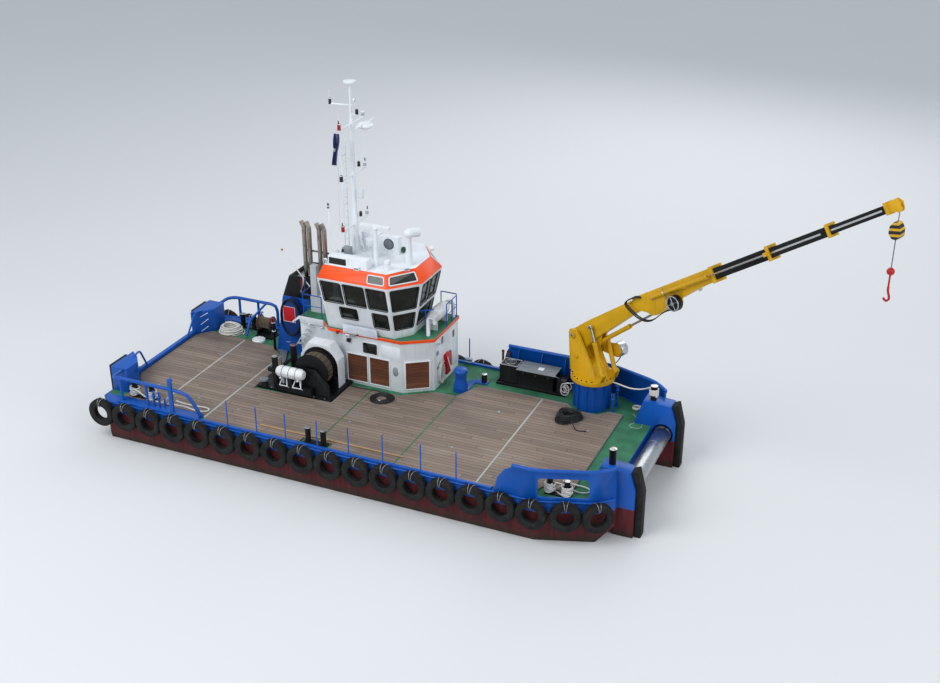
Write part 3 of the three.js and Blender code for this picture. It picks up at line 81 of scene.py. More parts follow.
def linear(code):
    """An sRGB hex value as linear RGBA."""
    parts = [int(code[i : i + 2], 16) / 255 for i in (1, 3, 5)]
    return tuple(c / 12.92 if c <= 0.04045 else ((c + 0.055) / 1.055) ** 2.4 for c in parts) + (1.0,)


def per_metre(millimetres):
    """A texture scale whose cells are about that wide."""
    return 1000 / millimetres


def swatch(name, description, code):
    return bpy.props.FloatVectorProperty(
        name=name, description=description, default=linear(code), size=4, min=0, max=1, subtype="COLOR"
    )


def span(name, description, default):
    return bpy.props.FloatProperty(
        name=name, description=description, default=default, min=0, unit="LENGTH"
    )


class WorkboatStage(bpy.types.PropertyGroup):
    water: span("Water level", "Height of the pale floor, at the waterline", 1.65)
    floor: swatch("Floor", "Colour of the plain floor", "#d8dadb")
    sky: swatch("Soft light", "Colour of the light from all round", "#e6edf5")
    lens: bpy.props.FloatProperty(name="Lens", description="Focal length", default=50.09, unit="CAMERA")


class WorkboatPaint(bpy.types.PropertyGroup):
    hull_blue: swatch("Hull blue", "Enamel of the topsides, rails and bulwarks", "#0a51aa")
    bottom_red: swatch("Bottom red", "Antifouling below the tyres' middle", "#5c1c22")
    deck_green: swatch("Deck green", "Non-slip paint on level steel", "#2c6448")
    timber: swatch("Timber", "Weathered hardwood deck", "#7f7063")
    house_white: swatch("House white", "Enamel of the deckhouse and wheelhouse", "#dfe4e8")
    trim_orange: swatch("Trim orange", "Enamel of the brim and the trim strip", "#f04e08")
    crane_yellow: swatch("Crane yellow", "Two-pack paint of the crane", "#cf9f08")
    black: swatch("Black", "Enamel of winches, boxes and bitts", "#0d0e10")


class WorkboatSizes(bpy.types.PropertyGroup):
    edge: span("Edge", "Rounding of the plate edges", 0.012)
    plank: span("Plank", "Width of a deck plank", 0.19)
    tyre: span("Tyre radius", "Outer radius of a fender tyre", 0.585)
    mooring: span("Mooring rope", "Diameter of the mooring ropes", 0.06)
    hose: span("Hose", "Diameter of the deck hoses", 0.045)


def paint():
    return bpy.context.scene.workboat_paint


def sizes():
    return bpy.context.scene.workboat_sizes


# Modelling helpers


def rest():
    """Object mode with nothing selected."""
    if bpy.context.object and bpy.context.object.mode != "OBJECT":
        bpy.ops.object.mode_set(mode="OBJECT")
    bpy.ops.object.select_all(action="DESELECT")


def hold(*objects):
    """Selects just these objects, with the last one active."""
    rest()
    for o in objects:
        o.select_set(True)
    bpy.context.view_layer.objects.active = objects[-1]


def settle(name):
    """Names the new object and moves its place into its mesh."""
    o = bpy.context.object
    o.name = o.data.name = name
    bpy.ops.object.transform_apply(location=True, rotation=True, scale=True)
    return o


def facing(a, b):
    """Rotation that turns +Z towards b from a."""
    return (Vector(b) - Vector(a)).to_track_quat("Z", "Y").to_euler()


def block(name, low, high):
    rest()
    middle = [(a + b) / 2 for a, b in zip(low, high)]
    bpy.ops.mesh.primitive_cube_add(size=1, location=middle, scale=[b - a for a, b in zip(low, high)])
    return settle(name)


def rod(name, a, b, radius, sides=20, tip=None):
    """A round bar from a to b, with another radius at b where tip is given."""
    rest()
    bpy.ops.mesh.primitive_cone_add(
        vertices=sides,
        radius1=radius,
        radius2=radius if tip is None else tip,
        depth=(Vector(b) - Vector(a)).length,
        location=(Vector(a) + Vector(b)) / 2,
        rotation=facing(a, b),
    )
    return settle(name)


def ball(name, centre, radius, squeeze=(1, 1, 1), sides=24):
    rest()
    bpy.ops.mesh.primitive_uv_sphere_add(
        segments=sides, ring_count=sides // 2, radius=radius, location=centre, scale=squeeze
    )
    return settle(name)


def hoop(name, centre, toward, radius, thick, sides=32, around=8):
    """A ring about the line from centre toward another point."""
    rest()
    bpy.ops.mesh.primitive_torus_add(
        major_radius=radius,
        minor_radius=thick,
        major_segments=sides,
        minor_segments=around,
        location=centre,
        rotation=facing(centre, toward),
    )
    return settle(name)


def line(name, points, radius, sides=8, closed=False):
    """A round line through points, as a mesh with U in metres along it and V once round it."""
    rest()
    bpy.ops.curve.primitive_nurbs_path_add()
    o = bpy.context.object
    curve = o.data
    curve.splines.clear()
    spline = curve.splines.new("POLY")
    spline.points.add(len(points) - 1)
    for p, q in zip(spline.points, points):
        p.co = (*q, 1)
    spline.use_cyclic_u = closed
    curve.dimensions = "3D"
    curve.bevel_depth = radius
    curve.bevel_resolution = max(0, (sides - 4) // 2)
    curve.use_fill_caps = not closed
    o.location = (0, 0, 0)
    bpy.ops.object.convert(target="MESH")
    o = settle(name)
    reach = length_of(points)
    if o.data.uv_layers:
        for loop in o.data.uv_layers[0].data:
            loop.uv[0] *= reach
    bpy.ops.object.shade_smooth_by_angle(angle=math.radians(70))
    return o


def length_of(points):
    return sum((Vector(b) - Vector(a)).length for a, b in zip(points, points[1:]))


def flowing(points, steps=6):
    """Points of one smooth curve through the given ones."""
    p = [Vector(q) for q in points]
    p = [2 * p[0] - p[1], *p, 2 * p[-1] - p[-2]]
    out = []
    for i in range(1, len(p) - 2):
        for k in range(steps):
            t = k / steps
            a = 2 * p[i]
            b = p[i + 1] - p[i - 1]
            c = 2 * p[i - 1] - 5 * p[i] + 4 * p[i + 1] - p[i + 2]
            d = -p[i - 1] + 3 * p[i] - 3 * p[i + 1] + p[i + 2]
            out.append(0.5 * (a + b * t + c * t * t + d * t**3))
    return [tuple(q) for q in [*out, p[-2]]]


def pick(o, test, kind="FACE"):
    """Enters edit mode with the faces or edges selected whose middle and normal (or direction) pass."""
    hold(o)
    bpy.ops.object.mode_set(mode="EDIT")
    bpy.ops.mesh.select_mode(type=kind)
    bpy.ops.mesh.select_all(action="DESELECT")
    bpy.ops.object.mode_set(mode="OBJECT")
    if kind == "FACE":
        for f in o.data.polygons:
            f.select = bool(test(f.center, f.normal))
    else:
        v = o.data.vertices
        for e in o.data.edges:
            a, b = (v[i].co for i in e.vertices)
            e.select = bool(test((a + b) / 2, (b - a).normalized()))
    bpy.ops.object.mode_set(mode="EDIT")


def done():
    bpy.ops.object.mode_set(mode="OBJECT")


def modify(o, kind, **settings):
    """Adds a modifier with its settings and applies it."""
    hold(o)
    m = o.modifiers.new(kind.title(), kind)
    for key, value in settings.items():
        setattr(m, key, value)
    bpy.ops.object.modifier_apply(modifier=m.name)
    return o


def soften(o, width, steps=2, angle=35):
    """Rounds the edges sharper than the angle and shades the rest smooth."""
    if width:
        modify(
            o, "BEVEL", width=width, segments=steps, limit_method="ANGLE", angle_limit=math.radians(angle)
        )
    hold(o)
    bpy.ops.object.shade_smooth_by_angle(angle=math.radians(angle))
    return o


def moved(o, matrix, name):
    """A copy with its own mesh, carried to another place."""
    twin = o.copy()
    twin.data = o.data.copy()
    bpy.context.scene.collection.objects.link(twin)
    twin.data.transform(matrix)
    if matrix.determinant() < 0:
        twin.data.flip_normals()
    twin.name = twin.data.name = name
    return twin


def gathered(name, *objects):
    """Joins objects into one piece."""
    hold(*objects)
    if len(objects) > 1:
        bpy.ops.object.join()
    o = bpy.context.object
    o.name = o.data.name = name
    return o


def dress(o, *coats):
    """Gives a piece its materials, in slot order."""
    o.data.materials.clear()
    for c in coats:
        o.data.materials.append(finish(c))
    return o


def mark(o, slot, test):
    """Puts the faces whose middle and normal pass into a material slot."""
    for f in o.data.polygons:
        if test(f.center, f.normal):
            f.material_index = slot
    return o


def fit(o, body, over=()):
    """Rides a piece on its body and hides the CAD nodes it stands for."""
    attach(o, body)
    if over:
        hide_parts(*over)
    return o


def remake(node, name, *coats, width=None, steps=2, angle=35, cuts=()):
    """A softened copy of a CAD node that stands for it: doubles merged, flats cleaned, edges rounded."""
    rest()
    o = bpy.data.objects.new(name, frame["nodes"][node].data.copy())
    o.data.name = name
    bpy.context.scene.collection.objects.link(o)
    hold(o)
    bpy.ops.mesh.customdata_custom_splitnormals_clear()
    bpy.ops.object.mode_set(mode="EDIT")
    bpy.ops.mesh.select_all(action="SELECT")
    bpy.ops.mesh.remove_doubles(threshold=2e-5)
    bpy.ops.mesh.dissolve_limited(angle_limit=math.radians(0.8))
    for place, normal in cuts:
        bpy.ops.mesh.select_all(action="SELECT")
        bpy.ops.mesh.bisect(plane_co=place, plane_no=normal)
    done()
    soften(o, sizes().edge if width is None else width, steps, angle)
    dress(o, *coats)
    return fit(o, BODY_OF[node], [node])


def in_boom(reach, height, across=0.0):
    """A point given in the upright plane of the boom."""
    c, s = math.cos(BOOM_AZ), math.sin(BOOM_AZ)
    return Vector((CRANE[0] + c * reach - s * across, CRANE[1] + s * reach + c * across, height))


def on_jib(along, above, across=0.0):
    """A point given along and above the outer boom's centreline."""
    c, s = math.cos(JIB_ANGLE), math.sin(JIB_ANGLE)
    return in_boom(KNUCKLE[0] + c * along - s * above, KNUCKLE[1] + s * along + c * above, across)


def jib_place(point):
    """How far along and above the outer boom's centreline a point lies, and how far across."""
    c, s = math.cos(BOOM_AZ), math.sin(BOOM_AZ)
    dx, dy = point[0] - CRANE[0], point[1] - CRANE[1]
    reach, across = c * dx + s * dy - KNUCKLE[0], c * dy - s * dx
    height = point[2] - KNUCKLE[1]
    c, s = math.cos(JIB_ANGLE), math.sin(JIB_ANGLE)
    return c * reach + s * height, c * height - s * reach, across


def slab(name, corners, thick):
    """A flat plate on four or more corners, thickened away from the side they turn anticlockwise on."""
    rest()
    bpy.ops.mesh.primitive_circle_add(vertices=len(corners), radius=1, fill_type="NGON")
    o = settle(name)
    for v, p in zip(o.data.vertices, corners):
        v.co = p
    normal = o.data.polygons[0].normal.copy()
    pick(o, lambda c, n: True)
    bpy.ops.mesh.extrude_region_move(TRANSFORM_OT_translate={"value": normal * -thick})
    bpy.ops.mesh.select_all(action="SELECT")
    bpy.ops.mesh.normals_make_consistent(inside=False)
    done()
    return o


def mix(a, b, t):
    return [tuple(p + (q - p) * t for p, q in zip(u, v)) for u, v in zip(a, b)]


def on_face(low, high, z0, z1, side, f, z, out=0.0):
    """A point on one leaning face between two outlines, with its distance outwards."""
    at = mix(low, high, (z - z0) / (z1 - z0))
    a, b = Vector(at[side]), Vector(at[(side + 1) % len(at)])
    d = (b - a).normalized()
    p = a.lerp(b, f)
    return Vector((p.x + d.y * out, p.y - d.x * out, z))


# Finishes


def add(tree, kind, sockets=None, out=0, to=None, **settings):
    """Adds a shader node with its settings; each socket gets a value or a link. Gives one output."""
    node = tree.nodes.new("ShaderNode" + kind)
    for key, value in settings.items():
        setattr(node, key, value)
    for key, value in (sockets or {}).items():
        if isinstance(value, bpy.types.NodeSocket):
            tree.links.new(value, node.inputs[key])
        else:
            node.inputs[key].default_value = value
    if to:
        tree.links.new(node.outputs[out], to)
    return None if out is None else node.outputs[out]


def begin(name, **values):
    """A new material: its tree, its shader and the piece's own coordinates."""
    material = bpy.data.materials.new(name)
    material.use_nodes = True
    tree = material.node_tree
    tree.nodes.clear()
    values = {key.replace("_", " "): value for key, value in values.items()}
    shader = add(tree, "BsdfPrincipled", values).node
    add(tree, "OutputMaterial", {"Surface": shader.outputs["BSDF"]}, out=None)
    return material, tree, shader, add(tree, "TexCoord", out="Object")


def clouds(tree, place, millimetres, detail=3.0, stretch=(1, 1, 1)):
    """Soft noise whose patches are about that wide, stretched along an axis by a small factor there."""
    turned = add(tree, "Mapping", {"Vector": place, "Scale": stretch})
    return add(tree, "TexNoise", {"Vector": turned, "Scale": per_metre(millimetres), "Detail": detail})


def shade(colour, factor):
    return tuple(min(1.0, c * factor) for c in colour[:3]) + (1.0,)


def enamel(name, colour, stain, rough=0.38, grime=0.3, shine=0.35):
    # Alkyd enamel rolled on plate: an even satin sheen, chalkier in broad patches, with thin dirty runs
    # down the sides and the faint waves of welded plate in its reflections.
    material, tree, shader, place = begin(name, IOR=1.5, Specular_IOR_Level=shine)
    patches = clouds(tree, place, 1300, 4)
    share = add(tree, "MapRange", {0: patches, 1: 0.35, 2: 0.7})
    tone = add(tree, "Mix", {0: share, 6: shade(colour, 0.9), 7: shade(colour, 1.1)}, 2, data_type="RGBA")
    runs = clouds(tree, place, 110, 5, (1, 1, 0.09))
    dirty = add(tree, "MapRange", {0: runs, 1: 0.56, 2: 0.8, 3: 0.0, 4: grime})
    tone = add(tree, "Mix", {0: dirty, 6: tone, 7: linear(stain)}, 2, data_type="RGBA")
    tree.links.new(tone, shader.inputs["Base Color"])
    share = add(tree, "MapRange", {0: patches, 1: 0.3, 2: 0.7, 3: rough - 0.07, 4: rough + 0.12})
    tree.links.new(share, shader.inputs["Roughness"])
    add(
        tree, "Bump", {"Height": clouds(tree, place, 420, 2), "Distance": 0.004, "Strength": 0.5},
        to=shader.inputs["Normal"],
    )
    return material


def hull_coat():
    # Topside enamel over matt antifouling: the line between them is sharp, a brown-green slime band sits
    # at the water, and level plating carries gritty green non-slip paint with worn, paler tracks.
    material, tree, shader, place = begin("hull_enamel", IOR=1.5, Specular_IOR_Level=0.35)
    where = add(tree, "SeparateXYZ", {0: place}).node
    height = where.outputs["Z"]
    patches = clouds(tree, place, 1500, 4)
    runs = clouds(tree, place, 120, 5, (1, 1, 0.1))
    blue = paint().hull_blue
    red = paint().bottom_red
    green = paint().deck_green
    share = add(tree, "MapRange", {0: patches, 1: 0.35, 2: 0.7})
    top = add(tree, "Mix", {0: share, 6: shade(blue, 0.88), 7: shade(blue, 1.12)}, 2, data_type="RGBA")
    share = add(tree, "MapRange", {0: runs, 1: 0.56, 2: 0.8, 3: 0.0, 4: 0.35})
    top = add(tree, "Mix", {0: share, 6: top, 7: linear("#3a332c")}, 2, data_type="RGBA")
    share = add(tree, "MapRange", {0: runs, 1: 0.4, 2: 0.75})
    low = add(tree, "Mix", {0: share, 6: shade(red, 0.75), 7: shade(red, 1.25)}, 2, data_type="RGBA")
    share = add(tree, "MapRange", {0: runs, 1: 0, 2: 1, 3: -0.15, 4: 0.15})
    amount = add(tree, "Math", {0: height, 1: share}, operation="ADD")
    slime = add(tree, "MapRange", {0: amount, 1: 1.75, 2: 2.05, 3: 0.8, 4: 0})
    low = add(tree, "Mix", {0: slime, 6: low, 7: linear("#2a2a20")}, 2, data_type="RGBA")
    share = add(tree, "MapRange", {0: height, 1: 2.845, 2: 2.855})
    tone = add(tree, "Mix", {0: share, 6: low, 7: top}, 2, data_type="RGBA")
    normal = add(tree, "NewGeometry", out="Normal")
    up = add(tree, "SeparateXYZ", {0: normal}, "Z")
    deck = add(tree, "Math", {0: height, 1: 3.4, 2: 0.1}, operation="COMPARE")
    share = add(tree, "MapRange", {0: up, 1: 0.9, 2: 0.95})
    level = add(tree, "Math", {0: share, 1: deck}, operation="MULTIPLY")
    beam = add(tree, "Math", {0: where.outputs["Y"]}, operation="ABSOLUTE")
    share = add(tree, "MapRange", {0: where.outputs["X"], 1: -5.6, 2: -5.65})
    other_share = add(tree, "MapRange", {0: beam, 1: 3.94, 2: 3.96})
    quarter = add(tree, "Math", {0: share, 1: other_share}, operation="MULTIPLY")
    amount = add(tree, "Math", {0: where.outputs["X"], 1: 7.9}, operation="SUBTRACT")
    fore = add(tree, "Math", {0: amount, 1: 0.0}, operation="MAXIMUM")
    reach = add(tree, "Math", {0: fore, 1: 0.5, 2: beam}, operation="MULTIPLY_ADD")
    share = add(tree, "MapRange", {0: reach, 1: 4.4, 2: 4.41})
    quarter = add(tree, "Math", {0: quarter, 1: share}, operation="MAXIMUM")
    level = add(tree, "Math", {0: level, 1: quarter}, operation="SUBTRACT", use_clamp=True)
    scuffs = clouds(tree, place, 650, 6)
    share = add(tree, "MapRange", {0: scuffs, 1: 0.4, 2: 0.72})
    walked = add(tree, "Mix", {0: share, 6: green, 7: shade(green, 1.7)}, 2, data_type="RGBA")
    mixed = add(tree, "Mix", {0: level, 6: tone, 7: walked}, 2, data_type="RGBA")
    tree.links.new(mixed, shader.inputs["Base Color"])
    rough = add(tree, "MapRange", {0: height, 1: 2.845, 2: 2.855, 3: 0.7, 4: 0.38})
    amount = add(tree, "Math", {0: level, 1: 0.75}, operation="MULTIPLY")
    amount = add(tree, "Math", {0: rough, 1: amount}, operation="MAXIMUM")
    tree.links.new(amount, shader.inputs["Roughness"])
    add(
        tree, "Bump", {"Height": clouds(tree, place, 480, 2), "Distance": 0.006, "Strength": 0.5},
        to=shader.inputs["Normal"],
    )
    return material


def nonslip():
    # Gritty deck paint: matt, dusted paler where feet go.
    green = paint().deck_green
    material, tree, shader, place = begin("nonslip_paint", Roughness=0.75)
    scuffs = clouds(tree, place, 600, 6)
    share = add(tree, "MapRange", {0: scuffs, 1: 0.4, 2: 0.75})
    tone = add(tree, "Mix", {0: share, 6: green, 7: shade(green, 1.6)}, 2, data_type="RGBA")
    tree.links.new(tone, shader.inputs["Base Color"])
    # Grit is 1 mm; drawn at 12 mm so that it shows.
    add(
        tree, "Bump", {"Height": clouds(tree, place, 12, 1), "Distance": 0.002, "Strength": 0.4},
        to=shader.inputs["Normal"],
    )
    return material


def planking():
    # Hardwood planks laid fore and aft, caulked with dark seams: each board its own brown, grey where
    # the sun and boots have worn it, with long grain and darker damp patches.
    material, tree, shader, place = begin("weathered_hardwood", IOR=1.45)
    split = add(tree, "SeparateXYZ", {0: place}).node
    row = add(tree, "Math", {0: split.outputs["Y"], 1: sizes().plank}, operation="DIVIDE")
    row_number = add(tree, "Math", {0: row}, operation="FLOOR")
    shift = add(tree, "Math", {0: row_number, 1: 0.37}, operation="MULTIPLY")
    amount = add(tree, "Math", {0: split.outputs["X"], 1: 4.2}, operation="DIVIDE")
    along = add(tree, "Math", {0: amount, 1: shift}, operation="ADD")
    amount = add(tree, "Math", {0: along}, operation="FLOOR")
    board = add(tree, "CombineXYZ", {"X": row_number, "Y": amount})
    tint = add(tree, "TexWhiteNoise", {"Vector": board}, "Value", noise_dimensions="3D")
    timber = paint().timber
    tone = add(tree, "Mix", {0: tint, 6: shade(timber, 0.78), 7: shade(timber, 1.2)}, 2, data_type="RGBA")
    grain = clouds(tree, place, 260, 5, (0.12, 5, 1))
    share = add(tree, "MapRange", {0: grain, 1: 0.35, 2: 0.75, 3: 0.0, 4: 0.5})
    tone = add(tree, "Mix", {0: share, 6: tone, 7: linear("#9a8a80")}, 2, data_type="RGBA")
    damp = clouds(tree, place, 2600, 5, (0.55, 1, 1))
    share = add(tree, "MapRange", {0: damp, 1: 0.48, 2: 0.75, 3: 0.0, 4: 0.55})
    tone = add(tree, "Mix", {0: share, 6: tone, 7: linear("#4c3d37")}, 2, data_type="RGBA")
    worn = clouds(tree, place, 1700, 4, (0.5, 1.4, 1))
    share = add(tree, "MapRange", {0: worn, 1: 0.55, 2: 0.8, 3: 0.0, 4: 0.5})
    tone = add(tree, "Mix", {0: share, 6: tone, 7: linear("#a39a93")}, 2, data_type="RGBA")
    # The seams are 8 mm; drawn at 16 mm so that they show.
    amount = add(tree, "Math", {0: row}, operation="FRACT")
    amount = add(tree, "Math", {0: amount, 1: 0.5}, operation="SUBTRACT")
    side = add(tree, "Math", {0: amount}, operation="ABSOLUTE")
    amount = add(tree, "Math", {0: along}, operation="FRACT")
    amount = add(tree, "Math", {0: amount, 1: 0.5}, operation="SUBTRACT")
    butt = add(tree, "Math", {0: amount}, operation="ABSOLUTE")
    share = add(tree, "MapRange", {0: side, 1: 0.44, 2: 0.47})
    other_share = add(tree, "MapRange", {0: butt, 1: 0.497, 2: 0.4985})
    seam = add(tree, "Math", {0: share, 1: other_share}, operation="MAXIMUM")
    amount = add(tree, "Math", {0: seam, 1: 0.75}, operation="MULTIPLY")
    tone = add(tree, "Mix", {0: amount, 6: tone, 7: linear("#2c2421")}, 2, data_type="RGBA")
    tree.links.new(tone, shader.inputs["Base Color"])
    share = add(tree, "MapRange", {0: damp, 1: 0.4, 2: 0.7, 3: 0.78, 4: 0.5})
    tree.links.new(share, shader.inputs["Roughness"])
    amount = add(tree, "Math", {0: grain, 1: 0.3}, operation="MULTIPLY")
    height = add(tree, "Math", {0: amount, 1: seam}, operation="SUBTRACT")
    add(tree, "Bump", {"Height": height, "Distance": 0.006, "Strength": 0.8}, to=shader.inputs["Normal"])
    return material


def rubber():
    # Old tyre rubber and fender section: dull black, grey with dust and salt, scuffed on its high parts.
    material, tree, shader, place = begin("scuffed_rubber", Specular_IOR_Level=0.2)
    dust = clouds(tree, place, 300, 6)
    share = add(tree, "MapRange", {0: dust, 1: 0.35, 2: 0.75})
    tone = add(tree, "Mix", {0: share, 6: linear("#141415"), 7: linear("#2c2b2a")}, 2, data_type="RGBA")
    rubs = clouds(tree, place, 70, 4, (1, 1, 3))
    share = add(tree, "MapRange", {0: rubs, 1: 0.62, 2: 0.78, 3: 0.0, 4: 0.5})
    tone = add(tree, "Mix", {0: share, 6: tone, 7: linear("#6a6661")}, 2, data_type="RGBA")
    tree.links.new(tone, shader.inputs["Base Color"])
    share = add(tree, "MapRange", {0: dust, 1: 0.3, 2: 0.7, 3: 0.62, 4: 0.88})
    tree.links.new(share, shader.inputs["Roughness"])
    add(
        tree, "Bump", {"Height": clouds(tree, place, 25, 3), "Distance": 0.003, "Strength": 0.6},
        to=shader.inputs["Normal"],
    )
    return material


def metal(name, colour, rough, spread, stretch=(1, 1, 1), stain=None, grime=0.0):
    # Bare metal: turned, drawn or plated, its gloss broken by fine scratches along the way it was worked.
    material, tree, shader, place = begin(name, Metallic=1.0)
    marks = clouds(tree, place, 60, 6, stretch)
    share = add(tree, "MapRange", {0: marks, 1: 0.3, 2: 0.7})
    tone = add(
        tree, "Mix", {0: share, 6: shade(linear(colour), 0.85), 7: shade(linear(colour), 1.1)}, 2,
        data_type="RGBA",
    )
    if stain:
        rust = clouds(tree, place, 340, 6)
        share = add(tree, "MapRange", {0: rust, 1: 0.5, 2: 0.7, 3: 0.0, 4: grime})
        tone = add(tree, "Mix", {0: share, 6: tone, 7: linear(stain)}, 2, data_type="RGBA")
    tree.links.new(tone, shader.inputs["Base Color"])
    share = add(tree, "MapRange", {0: marks, 1: 0.3, 2: 0.7, 3: rough - spread, 4: rough + spread})
    tree.links.new(share, shader.inputs["Roughness"])
    add(tree, "Bump", {"Height": marks, "Distance": 0.001, "Strength": 0.3}, to=shader.inputs["Normal"])
    return material


def cordage(name, colour, dark, pitch=0.16):
    # Laid or plaited line: pale crowns and grooves that turn round it, the grooves darkened as painted shade,
    # dirty in patches, matt and a little furry.
    material, tree, shader, place = begin(name, Roughness=0.9, Sheen_Weight=0.25)
    flow = add(tree, "TexCoord", out="UV")
    split = add(tree, "SeparateXYZ", {0: flow}).node
    amount = add(tree, "Math", {0: split.outputs["X"], 1: pitch}, operation="DIVIDE")
    turn = add(tree, "Math", {0: amount, 1: split.outputs["Y"]}, operation="ADD")
    amount = add(tree, "Math", {0: turn, 1: 6 * math.pi}, operation="MULTIPLY")
    strand = add(tree, "Math", {0: amount}, operation="SINE")
    dirt = clouds(tree, place, 180, 5)
    # The grooves between the strands get the dark colour: painted shade.
    share = add(tree, "MapRange", {0: strand, 1: -1, 2: 0.6})
    tone = add(tree, "Mix", {0: share, 6: linear(dark), 7: linear(colour)}, 2, data_type="RGBA")
    share = add(tree, "MapRange", {0: dirt, 1: 0.5, 2: 0.8, 3: 0.0, 4: 0.6})
    tone = add(tree, "Mix", {0: share, 6: tone, 7: linear(dark)}, 2, data_type="RGBA")
    tree.links.new(tone, shader.inputs["Base Color"])
    add(tree, "Bump", {"Height": strand, "Distance": 0.004, "Strength": 0.7}, to=shader.inputs["Normal"])
    return material


def glazing():
    # Toughened window glass: green, with sharp reflections and the cabin seen through it; its colour darkened as
    # painted shade of the dim cabin behind.
    material, tree, shader, place = begin(
        "tinted_glass_with_painted_shade", Roughness=0.03, IOR=1.5, Transmission_Weight=0.75
    )
    smear = clouds(tree, place, 500, 3)
    share = add(tree, "MapRange", {0: smear, 1: 0.4, 2: 0.7})
    # Both tones are dark: painted shade standing for the dim cabin behind the glass.
    tone = add(tree, "Mix", {0: share, 6: linear("#36403e"), 7: linear("#4c5856")}, 2, data_type="RGBA")
    tree.links.new(tone, shader.inputs["Base Color"])
    return material


def moulded(name, colour, rough, spread=0.08, depth=0.0006):
    # Moulded plastic or gelcoat: even colour, a soft gloss and a slight orange peel.
    material, tree, shader, place = begin(name, IOR=1.46)
    patches = clouds(tree, place, 350, 4)
    share = add(tree, "MapRange", {0: patches, 1: 0.35, 2: 0.75})
    tone = add(
        tree, "Mix", {0: share, 6: shade(linear(colour), 0.92), 7: shade(linear(colour), 1.06)}, 2,
        data_type="RGBA",
    )
    tree.links.new(tone, shader.inputs["Base Color"])
    share = add(tree, "MapRange", {0: patches, 1: 0.3, 2: 0.7, 3: rough - spread, 4: rough + spread})
    tree.links.new(share, shader.inputs["Roughness"])
    add(
        tree, "Bump", {"Height": clouds(tree, place, 18, 2), "Distance": depth, "Strength": 0.4},
        to=shader.inputs["Normal"],
    )
    return material


def boards():
    # Oiled hardwood boards set across in a steel frame: red-brown, streaked along each board.
    material, tree, shader, place = begin("oiled_boards", Roughness=0.5, IOR=1.45)
    height = add(tree, "SeparateXYZ", {0: place}, "Z")
    row = add(tree, "Math", {0: height, 1: 0.145}, operation="DIVIDE")
    amount = add(tree, "Math", {0: row}, operation="FLOOR")
    tint = add(tree, "TexWhiteNoise", {"W": amount}, "Value", noise_dimensions="1D")
    tone = add(tree, "Mix", {0: tint, 6: linear("#5a3524"), 7: linear("#7a4a31")}, 2, data_type="RGBA")
    grain = clouds(tree, place, 200, 5, (0.4, 0.4, 7))
    share = add(tree, "MapRange", {0: grain, 1: 0.4, 2: 0.7, 3: 0.0, 4: 0.6})
    tone = add(tree, "Mix", {0: share, 6: tone, 7: linear("#3d2318")}, 2, data_type="RGBA")
    amount = add(tree, "Math", {0: row}, operation="FRACT")
    amount = add(tree, "Math", {0: amount, 1: 0.5}, operation="SUBTRACT")
    seam = add(tree, "Math", {0: amount}, operation="ABSOLUTE")
    seam = add(tree, "MapRange", {0: seam, 1: 0.45, 2: 0.48})
    tone = add(tree, "Mix", {0: seam, 6: tone, 7: linear("#24150f")}, 2, data_type="RGBA")
    tree.links.new(tone, shader.inputs["Base Color"])
    amount = add(tree, "Math", {0: grain, 1: seam}, operation="SUBTRACT")
    add(tree, "Bump", {"Height": amount, "Distance": 0.004, "Strength": 0.6}, to=shader.inputs["Normal"])
    return material


def canvas(name, colour, dark):
    # Coated cover cloth: matt with a dull sheen and slack folds, their hollows darkened as painted shade.
    material, tree, shader, place = begin(name, Roughness=0.7, Sheen_Weight=0.2)
    folds = clouds(tree, place, 380, 4, (1, 0.5, 1))
    # The hollows of the folds get the dark colour: painted shade.
    share = add(tree, "MapRange", {0: folds, 1: 0.3, 2: 0.65})
    tone = add(tree, "Mix", {0: share, 6: linear(dark), 7: linear(colour)}, 2, data_type="RGBA")
    tree.links.new(tone, shader.inputs["Base Color"])
    # Threads are 1 mm apart; drawn at 6 mm so that they show close up.
    split = add(tree, "SeparateXYZ", {0: place}).node
    amount = add(tree, "Math", {0: split.outputs["Y"], 1: per_metre(6) * 2 * math.pi}, operation="MULTIPLY")
    warp = add(tree, "Math", {0: amount}, operation="SINE")
    amount = add(tree, "Math", {0: split.outputs["Z"], 1: per_metre(6) * 2 * math.pi}, operation="MULTIPLY")
    weft = add(tree, "Math", {0: amount}, operation="SINE")
    amount = add(tree, "Math", {0: warp, 1: weft}, operation="MULTIPLY")
    weave = add(tree, "Math", {0: amount, 1: 0.05}, operation="MULTIPLY")
    amount = add(tree, "Math", {0: folds, 1: weave}, operation="ADD")
    add(tree, "Bump", {"Height": amount, "Distance": 0.02, "Strength": 0.6}, to=shader.inputs["Normal"])
    return material


def striped():
    # Warning bands: black and yellow two-pack paint, masked off at a slant.
    material, tree, shader, place = begin("banded_paint", Roughness=0.45, IOR=1.5)
    split = add(tree, "SeparateXYZ", {0: place}).node
    amount = add(tree, "Math", {0: split.outputs["X"], 1: -0.25}, operation="MULTIPLY")
    slant = add(tree, "Math", {0: split.outputs["Z"], 1: amount}, operation="ADD")
    amount = add(tree, "Math", {0: slant, 1: 0.19}, operation="DIVIDE")
    band = add(tree, "Math", {0: amount}, operation="FRACT")
    chips = clouds(tree, place, 45, 5)
    share = add(tree, "MapRange", {0: chips, 1: 0, 2: 1, 3: -0.03, 4: 0.03})
    edge = add(tree, "Math", {0: band, 1: share}, operation="ADD")
    share = add(tree, "MapRange", {0: edge, 1: 0.56, 2: 0.58})
    tone = add(tree, "Mix", {0: share, 6: paint().black, 7: paint().crane_yellow}, 2, data_type="RGBA")
    share = add(tree, "MapRange", {0: chips, 1: 0.66, 2: 0.72, 3: 0, 4: 0.7})
    tone = add(tree, "Mix", {0: share, 6: tone, 7: linear("#4d443c")}, 2, data_type="RGBA")
    tree.links.new(tone, shader.inputs["Base Color"])
    add(tree, "Bump", {"Height": chips, "Distance": 0.001, "Strength": 0.3}, to=shader.inputs["Normal"])
    return material


